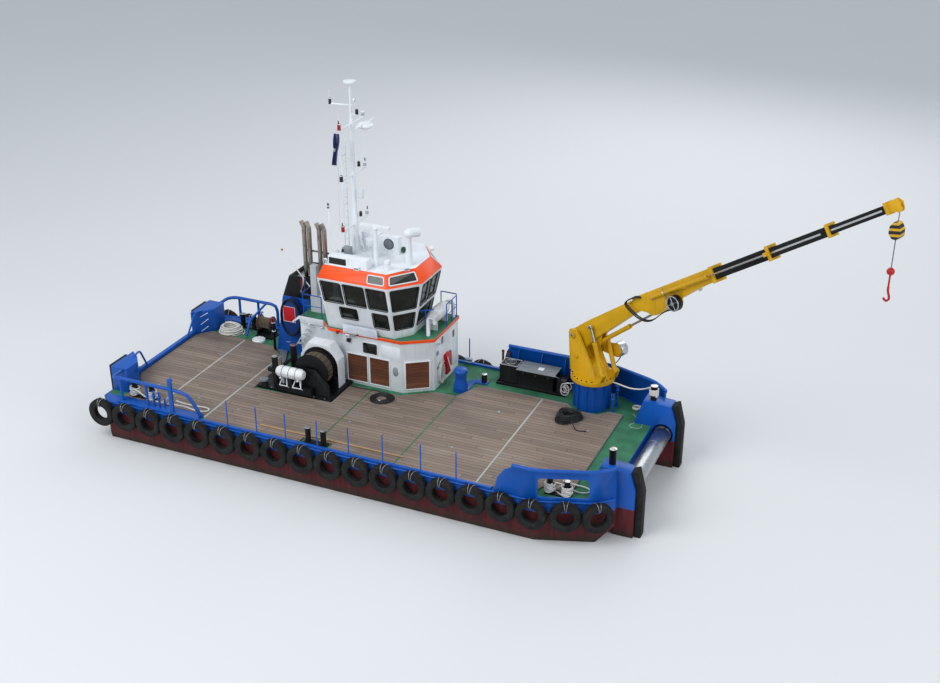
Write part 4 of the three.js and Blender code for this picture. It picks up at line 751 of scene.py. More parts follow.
def lens(name, colour):
    # Cast lamp glass: ribbed, glossy, lit from inside only by daylight; the troughs of its ribs are darkened as
    # painted shade.
    material, tree, shader, place = begin(name, Roughness=0.12, IOR=1.5, Transmission_Weight=0.35)
    height = add(tree, "SeparateXYZ", {0: place}, "Z")
    amount = add(tree, "Math", {0: height, 1: 2 * math.pi / 0.02}, operation="MULTIPLY")
    rib = add(tree, "Math", {0: amount}, operation="SINE")
    # The troughs of the ribs are darker: painted shade.
    share = add(tree, "MapRange", {0: rib, 1: -1, 2: 1})
    tone = add(
        tree, "Mix", {0: share, 6: shade(linear(colour), 0.8), 7: linear(colour)}, 2, data_type="RGBA",
    )
    tree.links.new(tone, shader.inputs["Base Color"])
    add(tree, "Bump", {"Height": rib, "Distance": 0.002, "Strength": 0.5}, to=shader.inputs["Normal"])
    return material


MAKERS = {
    "hull_enamel": hull_coat,
    "nonslip": nonslip,
    "planks": planking,
    "rubber": rubber,
    "blue": lambda: enamel("blue_enamel", paint().hull_blue, "#39342e"),
    "navy": lambda: enamel("navy_enamel", linear("#0b3170"), "#2c2a28"),
    "white": lambda: enamel("white_enamel", paint().house_white, "#8d8375", 0.34, 0.22),
    "orange": lambda: enamel("orange_enamel", paint().trim_orange, "#8a4a2a", 0.36, 0.2),
    "yellow": lambda: enamel("yellow_two_pack", paint().crane_yellow, "#5a4420", 0.4, 0.3),
    "black": lambda: enamel("black_enamel", paint().black, "#3a322b", 0.4, 0.3, 0.25),
    "light_grey": lambda: enamel("light_grey_enamel", linear("#b4babd"), "#7c746a", 0.45, 0.3),
    "grey": lambda: enamel("grey_enamel", linear("#6f767b"), "#4b443c", 0.45, 0.35),
    "pale_steel": lambda: enamel("worn_steel_strip", linear("#a9b0ab"), "#6d6154", 0.55, 0.5),
    "red": lambda: enamel("red_enamel", linear("#b3141c"), "#4a1a18", 0.35, 0.25),
    "bottom": lambda: enamel("antifouling", paint().bottom_red, "#2a2420", 0.7, 0.5),
    "rusty": lambda: enamel("rusted_steel", linear("#5b3a28"), "#241a15", 0.8, 0.7),
    "bright": lambda: metal("ground_steel_and_highlight", "#c3c6c9", 0.28, 0.1, (1, 0.15, 1), "#8a7462", 0.35),
    "chrome": lambda: metal("hard_chrome", "#d4d6d8", 0.1, 0.04),
    "galvanised": lambda: metal("galvanised_steel", "#a6abae", 0.45, 0.12),
    "exhaust": lambda: metal("heat_stained_steel", "#a39c93", 0.38, 0.12, (1, 1, 0.3), "#5d4a3a", 0.7),
    "bronze": lambda: metal("cast_bronze", "#b48a4a", 0.32, 0.1, (1, 1, 1), "#4c5a46", 0.3),
    "glass": glazing,
    "white_plastic": lambda: moulded("white_gelcoat", "#e4e7e8", 0.35),
    "black_plastic": lambda: moulded("black_moulding", "#17181a", 0.5),
    "grey_plastic": lambda: moulded("grey_moulding", "#8b9296", 0.5),
    "fabric_dark": lambda: canvas("seat_cloth", "#2b2f34", "#191b1e"),
    "cover": lambda: canvas("cover_cloth", "#e4e8e8", "#aab0b0"),
    "blue_cloth": lambda: canvas("blue_cloth", "#26387e", "#141f4c"),
    "red_cloth": lambda: canvas("red_cloth", "#a11a24", "#5e1016"),
    "white_cloth": lambda: canvas("white_cloth", "#dfe3e6", "#b2b8bd"),
    "banner": lambda: canvas("banner_cloth", "#e2e8f0", "#c3ccd6"),
    "white_rope": lambda: cordage("white_rope", "#f0f0ec", "#a8a49a"),
    "brown_rope": lambda: cordage("tarred_rope", "#5f4e38", "#241c14"),
    "wire": lambda: metal("wire_rope", "#6d6f70", 0.5, 0.1),
    "roller": lambda: metal("turned_roller", "#b4b8bb", 0.33, 0.06, (0.4, 5, 0.4), "#8a7462", 0.3),
    "ball_green": lambda: moulded("green_cover", "#1d4a3a", 0.5),
    "hose": lambda: moulded("black_hose", "#1a1b1d", 0.55, 0.1, 0.001),
    "red_hose": lambda: moulded("red_hose", "#a81c20", 0.5),
    "boards": boards,
    "bands": striped,
    "red_lens": lambda: lens("red_lens", "#b01418"),
    "green_lens": lambda: lens("green_lens", "#137a45"),
    "clear_lens": lambda: lens("clear_lens", "#cfd8dc"),
    "blind": lambda: canvas("window_blind", "#c9ccc8", "#9da19f"),
    "timber": lambda: moulded("planed_pole", "#b08e62", 0.6),
}


def finish(name):
    """The material of that short name, made the first time it is asked for."""
    key = "coat_" + name
    if key not in FINISHES:
        FINISHES[key] = MAKERS[name]()
    return FINISHES[key]


FINISHES = {}


# Pieces


class WORKBOAT_OT_stage(bpy.types.Operator):
    """Pale floor at the waterline, soft lights and the camera of the photograph."""

    bl_idname = "workboat.stage"
    bl_label = "Stage"
    bl_options = {"REGISTER", "UNDO"}

    def execute(self, context):
        stage = context.scene.workboat_stage
        rest()
        bpy.ops.object.camera_add(
            location=(21.5, -41.75, 29.12), rotation=(math.radians(63.87), 0, math.radians(23.5)),
        )
        camera = context.object
        camera.name = "photo_view"
        camera.data.lens = stage.lens
        camera.data.clip_end = 500
        context.scene.camera = camera
        rest()
        bpy.ops.mesh.primitive_plane_add(size=500, location=(0, 0, stage.water))
        floor = settle("floor")
        pick(floor, lambda c, n: True)
        bpy.ops.mesh.subdivide(number_cuts=2)
        done()
        material, tree, shader, place = begin("plain_floor", Roughness=0.85)
        tone = clouds(tree, place, 9000, 2)
        low, high = shade(stage.floor, 0.97), shade(stage.floor, 1.0)
        add(tree, "Mix", {0: tone, 6: low, 7: high}, 2, shader.inputs["Base Color"], data_type="RGBA")
        floor.data.materials.append(material)
        # name, place, aimed at, side, power
        lights = [
            ("key", (-18, -34, 46), (0, 0, 4), 34, 16500),
            ("fill", (44, -12, 30), (2, 0, 4), 30, 5200),
            ("back", (4, 46, 34), (0, 0, 4), 34, 6500),
        ]
        for name, where, aim, side, power in lights:
            bpy.ops.object.light_add(type="AREA", location=where, rotation=facing(aim, where))
            light = context.object
            light.name = name
            light.data.size = side
            light.data.energy = power
        world = bpy.data.worlds.new("soft_light")
        context.scene.world = world
        world.use_nodes = True
        background = world.node_tree.nodes["Background"]
        background.inputs["Color"].default_value = stage.sky
        background.inputs["Strength"].default_value = 0.75
        context.scene.view_settings.view_transform = "Standard"
        return {"FINISHED"}


def copies_round(part, centre, count, axis="Z"):
    """The part and its copies, evenly turned about an axis through centre."""
    there = Matrix.Translation(centre)
    out = [part]
    for i in range(1, count):
        turn = Matrix.Rotation(2 * math.pi * i / count, 4, axis)
        out.append(moved(part, there @ turn @ there.inverted(), part.name + "_copy"))
    return out


def coated(coat, *objects):
    """Gives each object one coat and hands them back."""
    for o in objects:
        dress(o, coat)
    return list(objects)


def lantern(at, coat, radius=0.075, high=0.27, case="black_plastic"):
    """A signal lantern on a point: its foot, ribbed lens and peaked cap."""
    x, y, z = at
    cuts = [z, z + 0.22 * high, z + 0.74 * high, z + high]
    foot = soften(rod("foot", (x, y, cuts[0]), (x, y, cuts[1]), radius * 1.05, 20, radius), 0.004)
    glass = soften(rod("glass", (x, y, cuts[1]), (x, y, cuts[2]), radius * 0.95, 20), 0.003)
    cap = soften(rod("cap", (x, y, cuts[2]), (x, y, cuts[3]), radius * 1.08, 20, radius * 0.55), 0.006)
    return coated(case, foot, cap) + coated(coat, glass)


def floodlight(at, aim, size=0.2, coat="white"):
    """A floodlight: a box with glass let into its face, on a stirrup."""
    o = block("head", (-size / 2, -size * 0.4, -size * 0.45), (size / 2, size * 0.4, 0))
    pick(o, lambda c, n: n.z < -0.9)
    bpy.ops.mesh.inset(thickness=size * 0.14)
    done()
    pick(o, lambda c, n: n.z > 0.9)
    bpy.ops.mesh.inset(thickness=size * 0.08)
    bpy.ops.mesh.extrude_region_shrink_fatten(TRANSFORM_OT_shrink_fatten={"value": -size * 0.08})
    done()
    soften(o, size * 0.04)
    dress(o, coat, "clear_lens")
    mark(o, 1, lambda c, n: n.z > 0.9 and c.z < -0.01 and abs(c.x) < size * 0.4)
    arm = line(
        "stirrup",
        [
            (-size * 0.56, 0, -size * 0.2), (-size * 0.56, 0, -size * 0.75), (size * 0.56, 0, -size * 0.75),
            (size * 0.56, 0, -size * 0.2),
        ],
        size * 0.05, 6,
    )
    dress(arm, coat)
    turn = (Vector(aim) - Vector(at)).to_track_quat("Z", "Y").to_matrix().to_4x4()
    for part in (o, arm):
        part.data.transform(Matrix.Translation(at) @ turn)
    return [o, arm]


def valve(x, y, low, high, size=1.0, coat="blue"):
    """A pipe stand with its foot flange, body, bonnet and handwheel."""
    r = 0.045 * size
    parts = [
        soften(rod("flange", (x, y, low), (x, y, low + 0.025), r * 2, 20), 0.004),
        rod("pipe", (x, y, low), (x, y, high - 0.12), r, 16),
        ball("body", (x, y, high - 0.2), r * 1.9, (1, 1, 0.8), 16),
        soften(rod("bonnet", (x, y, high - 0.16), (x, y, high - 0.06), r * 1.1, 16, r * 0.7), 0.003),
        rod("spindle", (x, y, high - 0.07), (x, y, high), r * 0.3, 10),
        hoop("wheel", (x, y, high - 0.01), (x, y, high + 1), r * 1.9, r * 0.22, 24, 6),
    ]
    spoke = rod("spoke", (x - r * 1.9, y, high - 0.01), (x + r * 1.9, y, high - 0.01), r * 0.2, 6)
    parts += copies_round(spoke, (x, y, high), 3)
    return coated(coat, *parts)


def bolts(centre, radius, count, size=0.03, coat="bright"):
    """A ring of hexagon heads with their washers, standing up."""
    x, y, z = centre
    head = soften(
        rod("head", (x + radius, y, z), (x + radius, y, z + size * 0.75), size, 6), size * 0.12, 1,
    )
    washer = rod("washer", (x + radius, y, z), (x + radius, y, z + size * 0.15), size * 1.3, 12)
    one = gathered("bolt", head, washer)
    dress(one, coat)
    return copies_round(one, centre, count)


def whip(at, high, lean=(0, 0)):
    """A whip aerial: a ferrule and a tapering rod."""
    x, y, z = at
    top = (x + lean[0], y + lean[1], z + high)
    foot = soften(rod("ferrule", (x, y, z - 0.02), (x, y, z + 0.14), 0.028, 12, 0.018), 0.003)
    return coated("black_plastic", foot) + coated(
        "white_plastic", rod("whip", (x, y, z + 0.1), top, 0.013, 8, 0.006),
    )


def bar(coat, a, b, radius, sides=12, tip=None):
    """A round bar with its ends rounded off."""
    return coated(coat, soften(rod("bar", a, b, radius, sides, tip), min(0.006, radius * 0.3)))


def box(coat, low, high, round_off=0.01):
    """A box with a raised lid line round its top and rounded edges."""
    o = block("box", low, high)
    pick(o, lambda c, n: n.z > 0.9)
    rim = 0.08 * min(high[0] - low[0], high[1] - low[1])
    bpy.ops.mesh.inset(thickness=rim)
    bpy.ops.mesh.extrude_region_shrink_fatten(TRANSFORM_OT_shrink_fatten={"value": rim * 0.3})
    done()
    return coated(coat, soften(o, round_off))


def drum_lamp(at, toward, radius, deep, coat="white", glass="clear_lens"):
    """A round lamp: bowl, rim and lens, looking toward a point."""
    at, d = Vector(at), (Vector(toward) - Vector(at)).normalized()
    bowl = soften(rod("bowl", at - d * deep, at, radius * 0.6, 24, radius), 0.006)
    rim = hoop("rim", at, at + d, radius, radius * 0.1, 28, 6)
    pane = soften(rod("pane", at - d * 0.005, at + d * 0.012, radius * 0.93, 24), 0.003)
    return coated(coat, bowl, rim) + coated(glass, pane)


def assembly(name, slot, *parts, body="boat"):
    """Joins dressed parts into one piece that rides on a body."""
    return fit(gathered(name, *parts), body)


def bitt_turns(a, b, z, radius, diameter, turns, slack=0.03):
    """Points of a rope wound round two posts: loose turns up the far one, across, and up the near one."""
    a, b = Vector(a), Vector(b)
    along = (b - a).normalized()
    side = Vector((-along.y, along.x))
    r = radius + diameter / 2 + slack
    lean = math.asin(min(1.0, 2 * r / (b - a).length))
    sweep = (2 * turns + 1) * math.pi + 2 * lean
    rise = diameter * 1.02 * sweep / (2 * math.pi)
    steps = 22 * turns
    out = []
    for post, face in ((b, 1), (a, -1)):
        for k in range(steps + 1):
            t = sweep * k / steps
            loose = r + 0.8 * slack * math.sin(2.3 * t) * min(1, t, sweep - t)
            angle = t - math.pi / 2 - lean
            p = post + loose * face * (along * math.cos(angle) + side * math.sin(angle))
            out.append((p.x, p.y, z + rise * k / steps))
    # the end is tucked in against the post it came round last
    angle += 0.5
    p = a - (radius + 0.4 * diameter) * (along * math.cos(angle) + side * math.sin(angle))
    return [*out, (p.x, p.y, z + rise + 0.01)]


def coiled(centre, radii, z, diameter, squash=(1.0, 1.0), wobble=0.0, start=0.0, way=1):
    """Points of a coil that runs from each radius to the next, every run one layer above the last."""
    pitch = 1.2 * diameter / (min(squash) * (1 - 1.6 * wobble))
    angle = math.radians(start)
    out = []
    for layer, (r0, r1) in enumerate(zip(radii, radii[1:])):
        count = max(8, round(20 * abs(r1 - r0) / pitch))
        for k in range(count):
            r = r0 + (r1 - r0) * k / count
            r *= 1 + wobble * math.sin(3 * angle + 0.6) + 0.6 * wobble * math.sin(2 * angle)
            lift = layer - 1 + min(1.0, k / 5) if layer else 0.0
            out.append((
                centre[0] + squash[0] * r * math.cos(angle),
                centre[1] + squash[1] * r * math.sin(angle),
                z + 1.05 * diameter * lift,
            ))
            angle += way * math.pi / 10
    return out


def rope(name, points, diameter, coat, end="knot", stiffness="limp", lay="loose", body="boat"):
    """A free rope or hose along its points, finished with a knot, a nozzle or the thing it runs into."""
    o = line(name, points, diameter / 2, 8)
    dress(o, coat)
    if end == "knot":
        a, b = Vector(points[-2]), Vector(points[-1])
        tip = gathered(
            name + "_knot",
            ball("bulge", b, diameter * 0.85, (1, 1, 0.8), 12),
            hoop("wrap", b, b + (b - a), diameter * 0.6, diameter * 0.3, 12, 6),
        )
        fit(dress(tip, coat), body)
        bpy.ops.object.shade_smooth()
    if end == "fitting":
        a, b = Vector(points[-2]), Vector(points[-1])
        d = (b - a).normalized()
        tip = gathered(
            name + "_nozzle",
            rod("collar", b - d * 0.02, b + d * 0.03, diameter * 0.72, 16),
            rod("taper", b + d * 0.03, b + d * 0.1, diameter * 0.6, 16, diameter * 0.36),
            rod("lip", b + d * 0.1, b + d * 0.115, diameter * 0.48, 16),
        )
        fit(dress(soften(tip, 0.003), "bright"), body)
    fit(o, body)
    return o


class WORKBOAT_OT_ropes(bpy.types.Operator):
    """Mooring ropes, deck hoses and the crane's hoses, each one length of line."""

    bl_idname = "workboat.ropes"
    bl_label = "Ropes and hoses"
    bl_options = {"REGISTER", "UNDO"}

    def execute(self, context):
        mooring = sizes().mooring
        hose = sizes().hose
        # Starboard quarter: turns on the aft bitts, then a tail along the planks and back
        wraps = bitt_turns((-9.18, -3.78), (-10.02, -3.78), 3.47, 0.11, mooring, 5)
        tail = [
            (-9.6, -3.785, 3.438), (-9.2, -3.905, 3.434), (-8.8, -3.91, 3.43), (-8.3, -3.9, 3.43),
            (-7.65, -3.82, 3.43), (-7.1, -3.9, 3.43), (-6.75, -3.88, 3.43), (-6.55, -3.78, 3.43),
            (
                -6.56, -3.62, 3.43,
            ), (-6.8, -3.55, 3.43), (-7.2, -3.6, 3.43), (-7.7, -3.62, 3.43), (-8.15, -3.56, 3.43),
        ]
        rope("quarter_rope", wraps[::-1] + flowing(tail, 3), mooring, "white_rope")
        # Bow: the same on the bitts in the bulwark's opening, with loops of slack beside them
        wraps = bitt_turns((8.15, -3.80), (8.81, -3.80), 3.43, 0.11, mooring, 5)
        slack = [
            (
                8.48, -3.79, 3.385,
            ), (8.2, -3.62, 3.41), (8.0, -3.47, 3.43), (8.02, -3.3, 3.43), (8.25, -3.22, 3.43),
            (8.6, -3.3, 3.43), (8.9, -3.4, 3.4), (9.2, -3.42, 3.37), (9.45, -3.3, 3.37), (9.45, -3.1, 3.37),
            (9.2, -3.0, 3.37), (8.95, -3.02, 3.39), (8.7, -3.05, 3.43), (8.4, -2.98, 3.43),
        ]
        rope("bow_rope", wraps[::-1] + flowing(slack, 3), mooring, "white_rope")
        # Port quarter: a heap of coils beside the bitts
        heap = coiled(
            (-9.78, 2.98), (0.56, 0.24, 0.5, 0.26, 0.46, 0.28, 0.4), 3.371, mooring, (1.12, 0.92), 0.05,
        )
        rope("quarter_heap", heap, mooring, "white_rope", lay="coiled")
        # Pedestal to the port knee's post, sagging, with turns round the post
        span = [
            (
                8.235, 2.95, 4.6,
            ), (8.33, 2.93, 4.62), (8.54, 2.9, 4.61), (8.85, 2.86, 4.57), (9.17, 2.83, 4.56),
            (9.5, 2.81, 4.62), (9.75, 2.8, 4.72), (9.93, 2.795, 4.82),
        ]
        post = [
            (10.09 + 0.163 * math.sin(t), 2.62 + 0.163 * math.cos(t), 4.86 - 0.062 * t / (2 * math.pi))
            for t in (k * math.pi / 8 - 0.5 for k in range(0, 72))
        ]
        rope("knee_rope", flowing(span, 3) + post, mooring, "white_rope")
        # Deck: a white coil on the steel by the port knee, and a thin line thrown down beside it
        coil = coiled((9.23, 3.5), (0.24, 0.1, 0.22), 3.359, 0.036, (1, 0.85), 0.03)
        rope("knee_coil", coil, 0.036, "white_rope", lay="coiled")
        thrown = [
            (
                9.21, 2.97, 3.348,
            ), (9.4, 2.75, 3.348), (9.52, 2.49, 3.348), (9.42, 2.24, 3.348), (9.33, 2.07, 3.348),
            (
                9.45, 1.92, 3.348,
            ), (9.68, 1.93, 3.348), (9.81, 2.06, 3.348), (9.76, 2.4, 3.348), (9.57, 2.73, 3.348),
            (9.6, 3.0, 3.348),
        ]
        rope("heaving_line", flowing(thrown, 3), 0.014, "white_rope")
        # A hose from the house's foot to a flat coil on the planks
        lead = [
            (
                -2.75, 0.872, 3.62,
            ), (-2.75, 0.82, 3.56), (-2.72, 0.72, 3.47), (-2.6, 0.6, 3.42), (-2.35, 0.5, 3.424),
            (-1.95, 0.45, 3.424), (-1.5, 0.47, 3.424), (-1.1, 0.5, 3.424),
        ]
        coil = coiled((-0.6, 0.0), (0.53, 0.2), 3.424, hose, (1, 0.95), 0.02, 115, -1)
        rope("deck_hose", flowing(lead, 3) + coil, hose, "hose", "fitting", "medium", "coiled")
        # A heap of black hose at the pedestal's foot
        heap = coiled((6.95, 1.5), (0.2, 0.54, 0.26, 0.5, 0.2, 0.46, 0.26), 3.424, hose, (1, 1), 0.12, 196)
        tail = [
            heap[-1], (7.17, 1.2, 3.660), (
                7.27, 1.02, 3.630,
            ), (7.37, 0.88, 3.56), (7.5, 0.76, 3.44), (7.64, 0.7, 3.424),
            (7.8, 0.72, 3.424), (7.96, 0.8, 3.424),
        ]
        rope("hose_heap", heap + flowing(tail, 3)[1:], hose, "hose", "fitting", "medium", "coiled")
        # Canvas fire hose hung in loops on the house's fore face
        loops = []
        for k in range(73):
            t = k * math.pi / 12
            loops.append((1.052 + 0.002 * k, 2.14 + 0.24 * math.sin(t), 3.96 + 0.46 * math.cos(t)))
        rope("fire_hose", loops, 0.04, "white_rope", "fitting", "limp", "hanging")
        # White rope hung in loops on a peg aft of the pedestal
        hank = [(6.735, 3.0, 4.19), (6.66, 2.985, 4.2), (6.56, 2.965, 4.195), (6.47, 2.945, 4.18)]
        for k in range(1, 97):
            t = -k * math.pi / 12
            x = 6.3 + 0.09 * math.sin(0.29 * t) + 0.14 * math.sin(t)
            hank.append((x, 2.92 + 0.05 * k / 24, 3.85 + 0.12 * math.cos(0.37 * t) + 0.18 * math.cos(t)))
        rope("pedestal_hank", hank, 0.036, "white_rope", "knot", "limp", "hanging")
        # Three hoses hang in a loop below the crane's knuckle, from the outer boom's heel to its reel
        way = [
            (2.6, 9.13), (2.48, 9.14), (2.32, 9.07), (2.15, 8.94), (1.97, 8.8), (1.93, 8.66), (2.1, 8.53),
            (
                2.35, 8.43,
            ), (2.6, 8.35), (2.9, 8.33), (3.2, 8.42), (3.45, 8.6), (3.69, 8.85), (3.92, 9.06), (4.12, 9.2),
            (4.33, 9.3),
        ]
        for i in range(3):
            across = [-0.33 - 0.01 * i] + [-0.38 - 0.05 * i] * 9
            across += [-0.38 - 0.05 * i - 0.013 * k for k in range(1, 7)]
            route = flowing([in_boom(r, h - 0.015 * i, a) for (r, h), a in zip(way, across)], 3)
            rope(f"knuckle_hose_{i + 1}", route, 0.04, "hose", "object", "medium", "hanging", "outer_arm")
        # A hose loop below the column's own winch
        way = [
            (0.76, 5.7, 0.83), (0.7, 5.56, 0.84), (0.6, 5.36, 0.82), (0.5, 5.2, 0.76), (0.4, 5.13, 0.68),
            (0.3, 5.13, 0.58), (0.2, 5.2, 0.5), (0.12, 5.34, 0.45), (0.06, 5.5, 0.42),
        ]
        route = flowing([in_boom(*p) for p in way], 3)
        rope("winch_hose", route, 0.04, "hose", "object", "medium", "hanging", "column")
        return {"FINISHED"}


class WORKBOAT_OT_hull(bpy.types.Operator):
    """Hull shell, push knees with their rubber, propellers and rudders."""

    bl_idname = "workboat.hull"
    bl_label = "Hull and knees"
    bl_options = {"REGISTER", "UNDO"}

    def execute(self, context):
        remake("hull", "hull_shell", "hull_enamel", width=0.03)
        for side in ("starboard", "port"):
            knee = remake(
                "bow_knee_" + side, "push_knee_" + side, "hull_enamel", "black", "bright", width=0.012,
            )
            post = Vector((10.09, -2.62 if side == "starboard" else 2.62))
            mark(knee, 1, lambda c, n: c.z > 4.42 and (c.xy - post).length < 0.17)
            # The post's top face gets bright steel as a painted highlight of the sky on it.
            mark(knee, 2, lambda c, n: c.z > 4.98 and (c.xy - post).length < 0.17 and n.z > 0.9)
            remake("knee_fender_" + side, "knee_rubber_" + side, "rubber", width=0.05, steps=3)
            remake("propeller_" + side, "screw_" + side, "bronze", width=0.006)
            remake("rudder_" + side, "rudder_blade_" + side, "bottom", width=0.01)
        remake("stern_works", "stern_blocks", "blue", width=0.04, steps=3)
        return {"FINISHED"}


class WORKBOAT_OT_deck(bpy.types.Operator):
    """Timber deck and the steel strips across it."""

    bl_idname = "workboat.deck"
    bl_label = "Deck"
    bl_options = {"REGISTER", "UNDO"}

    def execute(self, context):
        remake("wood_deck", "deck_planking", "planks", width=0.004)
        # X, width, end Y starboard, end Y port, finish
        strips = [
            (-8.70, 0.07, -3.92, 2.45, "pale_steel"),
            (-6.40, 0.07, -4.20, 1.72, "pale_steel"),
            (5.46, 0.07, -4.30, 2.62, "pale_steel"),
            (-1.33, 0.06, -3.98, 0.54, "nonslip"),
            (2.10, 0.06, -4.30, 1.38, "nonslip"),
        ]
        pieces = {}
        for x, wide, y0, y1, coat in strips:
            bar = block("strip", (x - wide / 2, y0, DECK - 0.004), (x + wide / 2, y1, DECK + 0.006))
            pieces.setdefault(coat, []).append(soften(bar, 0.004))
        for coat, bars in pieces.items():
            fit(dress(gathered("deck_strips_" + coat, *bars), coat), "boat")
        return {"FINISHED"}


class WORKBOAT_OT_tyres(bpy.types.Operator):
    """Lorry tyres along both sides on their hanging rail, and the stern fender blocks."""

    bl_idname = "workboat.tyres"
    bl_label = "Tyre fenders"
    bl_options = {"REGISTER", "UNDO"}

    def execute(self, context):
        tyre = self.tyre()
        loop = self.sling()
        stations = [-9.915, -8.76, -7.6, -6.42, -5.25, -4.06, -2.87, -1.68, -0.5]
        stations += [0.69, 1.87, 3.05, 4.23, 5.43, 6.6, 7.79]
        places = [(x, 4.72, 0) for x in stations]
        places += [(-11.06, 4.72, 0), (8.984, 4.414, 19), (10.07, 4.01, 36)]
        for side, s in (("starboard", -1), ("port", 1)):
            tyres, slings = [], []
            for i, (x, y, turn) in enumerate(places):
                at = Matrix.Translation((x, s * y, 2.87)) @ Matrix.Rotation(math.radians(-s * turn), 4, "Z")
                roll = Matrix.Rotation(0.7 * i, 4, "Y")
                tyres.append(moved(tyre, at @ roll, "tyre"))
                mirror = Matrix.Diagonal((1, s, 1, 1))
                slings.append(moved(loop, at @ mirror, "sling"))
            whole = gathered("tyre_row_" + side, *tyres)
            hold(whole)
            bpy.ops.object.shade_smooth_by_angle(angle=math.radians(40))
            rail = line(
                "rail",
                [(x, s * y, 3.31) for x, y in (
                    (-11.29, 3.45), (-11.29, 4.16), (
                        -10.92, 4.529,
                    ), (7.836, 4.529), (9.893, 3.818), (10.44, 3.281)
                )],
                0.034,
            )
            stern = soften(
                block("stern", (-11.45, s * 2.95 - 0.56, 1.5), (-11.2503, s * 2.95 + 0.56, 4.4)), 0.05, 4,
            )
            whole = gathered("tyre_row_" + side, stern, whole)
            dress(whole, "rubber")
            fit(whole, "boat", ["side_fenders_" + side])
            fit(dress(rail, "blue"), "boat").name = "tyre_rail_" + side
            ropes = gathered("tyre_slings_" + side, *slings)
            fit(dress(ropes, "galvanised"), "boat")
        for o in (tyre, loop):
            bpy.data.objects.remove(o)
        return {"FINISHED"}

    def tyre(self):
        """One tyre about Y: a bulged section swept round, with its tread cut into blocks."""
        radius = sizes().tyre
        rest()
        bpy.ops.mesh.primitive_circle_add(vertices=12, radius=1)
        o = settle("tyre_section")
        bead = 0.30
        outline = [
            (bead + 0.02, 0.115), (bead + 0.075, 0.15), (0.45, 0.163), (radius - 0.04, 0.152), (
                radius - 0.005, 0.115,
            ),
            (radius, 0.045), (radius, -0.045), (
                radius - 0.005, -0.115,
            ), (radius - 0.04, -0.152), (0.45, -0.163),
            (bead + 0.075, -0.15), (bead + 0.02, -0.115),
        ]
        for v, (r, w) in zip(o.data.vertices, outline):
            v.co = (r, w, 0)
        pick(o, lambda c, d: True, "EDGE")
        bpy.ops.mesh.select_all(action="SELECT")
        bpy.ops.mesh.spin(steps=40, angle=2 * math.pi, center=(0, 0, 0), axis=(0, 1, 0))
        bpy.ops.mesh.select_all(action="SELECT")
        bpy.ops.mesh.remove_doubles(threshold=1e-4)
        bpy.ops.mesh.normals_make_consistent(inside=False)
        done()
        pick(o, lambda c, n: math.hypot(c.x, c.z) > radius - 0.012)
        bpy.ops.mesh.inset(thickness=0.011, use_individual=True)
        bpy.ops.mesh.extrude_region_shrink_fatten(TRANSFORM_OT_shrink_fatten={"value": 0.012})
        done()
        return o

    def sling(self):
        """The short line that hangs a tyre: down over its tread and through its bore."""
        left = flowing(
            [
                (-0.15, -0.22, 0.5), (-0.11, -0.1, 0.61), (-0.06, 0.12, 0.60), (-0.03, 0.2, 0.42),
                (0, 0.1, 0.27),
            ],
            5,
        )
        right = [(-x, y, z) for x, y, z in left]
        return gathered("sling", line("a", left, 0.011, 6), line("b", right, 0.011, 6))


class WORKBOAT_OT_rails(bpy.types.Operator):
    """Bulwarks, side rails and mooring bitts, their top faces lightened with a painted highlight."""

    bl_idname = "workboat.rails"
    bl_label = "Rails and bitts"
    bl_options = {"REGISTER", "UNDO"}

    def execute(self, context):
        for side in ("starboard", "port"):
            remake("bow_bulwark_" + side, "bulwark_" + side, "blue", width=0.008, angle=50)
            remake("side_rail_" + side, "quarter_rail_" + side, "blue", width=0.006, angle=50)
        for where in ("mid", "aft", "bow"):
            name = f"bitts_{where}_starboard"
            posts = remake(name, name + "_posts", "black", "bright", width=0.014, steps=3)
            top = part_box(name)[1].z
            # The bitts' top faces get bright steel as a painted highlight of the sky on them.
            mark(posts, 1, lambda c, n: c.z > top - 0.004 and n.z > 0.9)
        return {"FINISHED"}


class WORKBOAT_OT_bow_roller(bpy.types.Operator):
    """The bright roller between the knees."""

    bl_idname = "workboat.bow_roller"
    bl_label = "Bow roller"
    bl_options = {"REGISTER", "UNDO"}

    def execute(self, context):
        x, z, half = 10.61, 3.08, 2.4857
        drum = rod("drum", (x, -half, z), (x, half, z), 0.34, 72)
        pick(drum, lambda c, n: abs(n.y) > 0.9)
        bpy.ops.mesh.inset(thickness=0.03)
        bpy.ops.mesh.extrude_region_shrink_fatten(TRANSFORM_OT_shrink_fatten={"value": -0.02})
        bpy.ops.mesh.inset(thickness=0.17)
        bpy.ops.mesh.extrude_region_shrink_fatten(TRANSFORM_OT_shrink_fatten={"value": 0.02})
        done()
        shaft = rod("shaft", (x, -half - 0.09, z), (x, half + 0.09, z), 0.12, 32)
        bands = [
            hoop("band", (x, y, z), (x, y + 1, z), 0.337, 0.007, 72, 6)
            for y in (-2.3, -1.15, 0, 1.15, 2.3)
        ]
        roller = soften(gathered("roller_drum", drum, shaft, *bands), 0.01)
        fit(dress(roller, "roller"), "roller", ["bow_roller"])
        return {"FINISHED"}


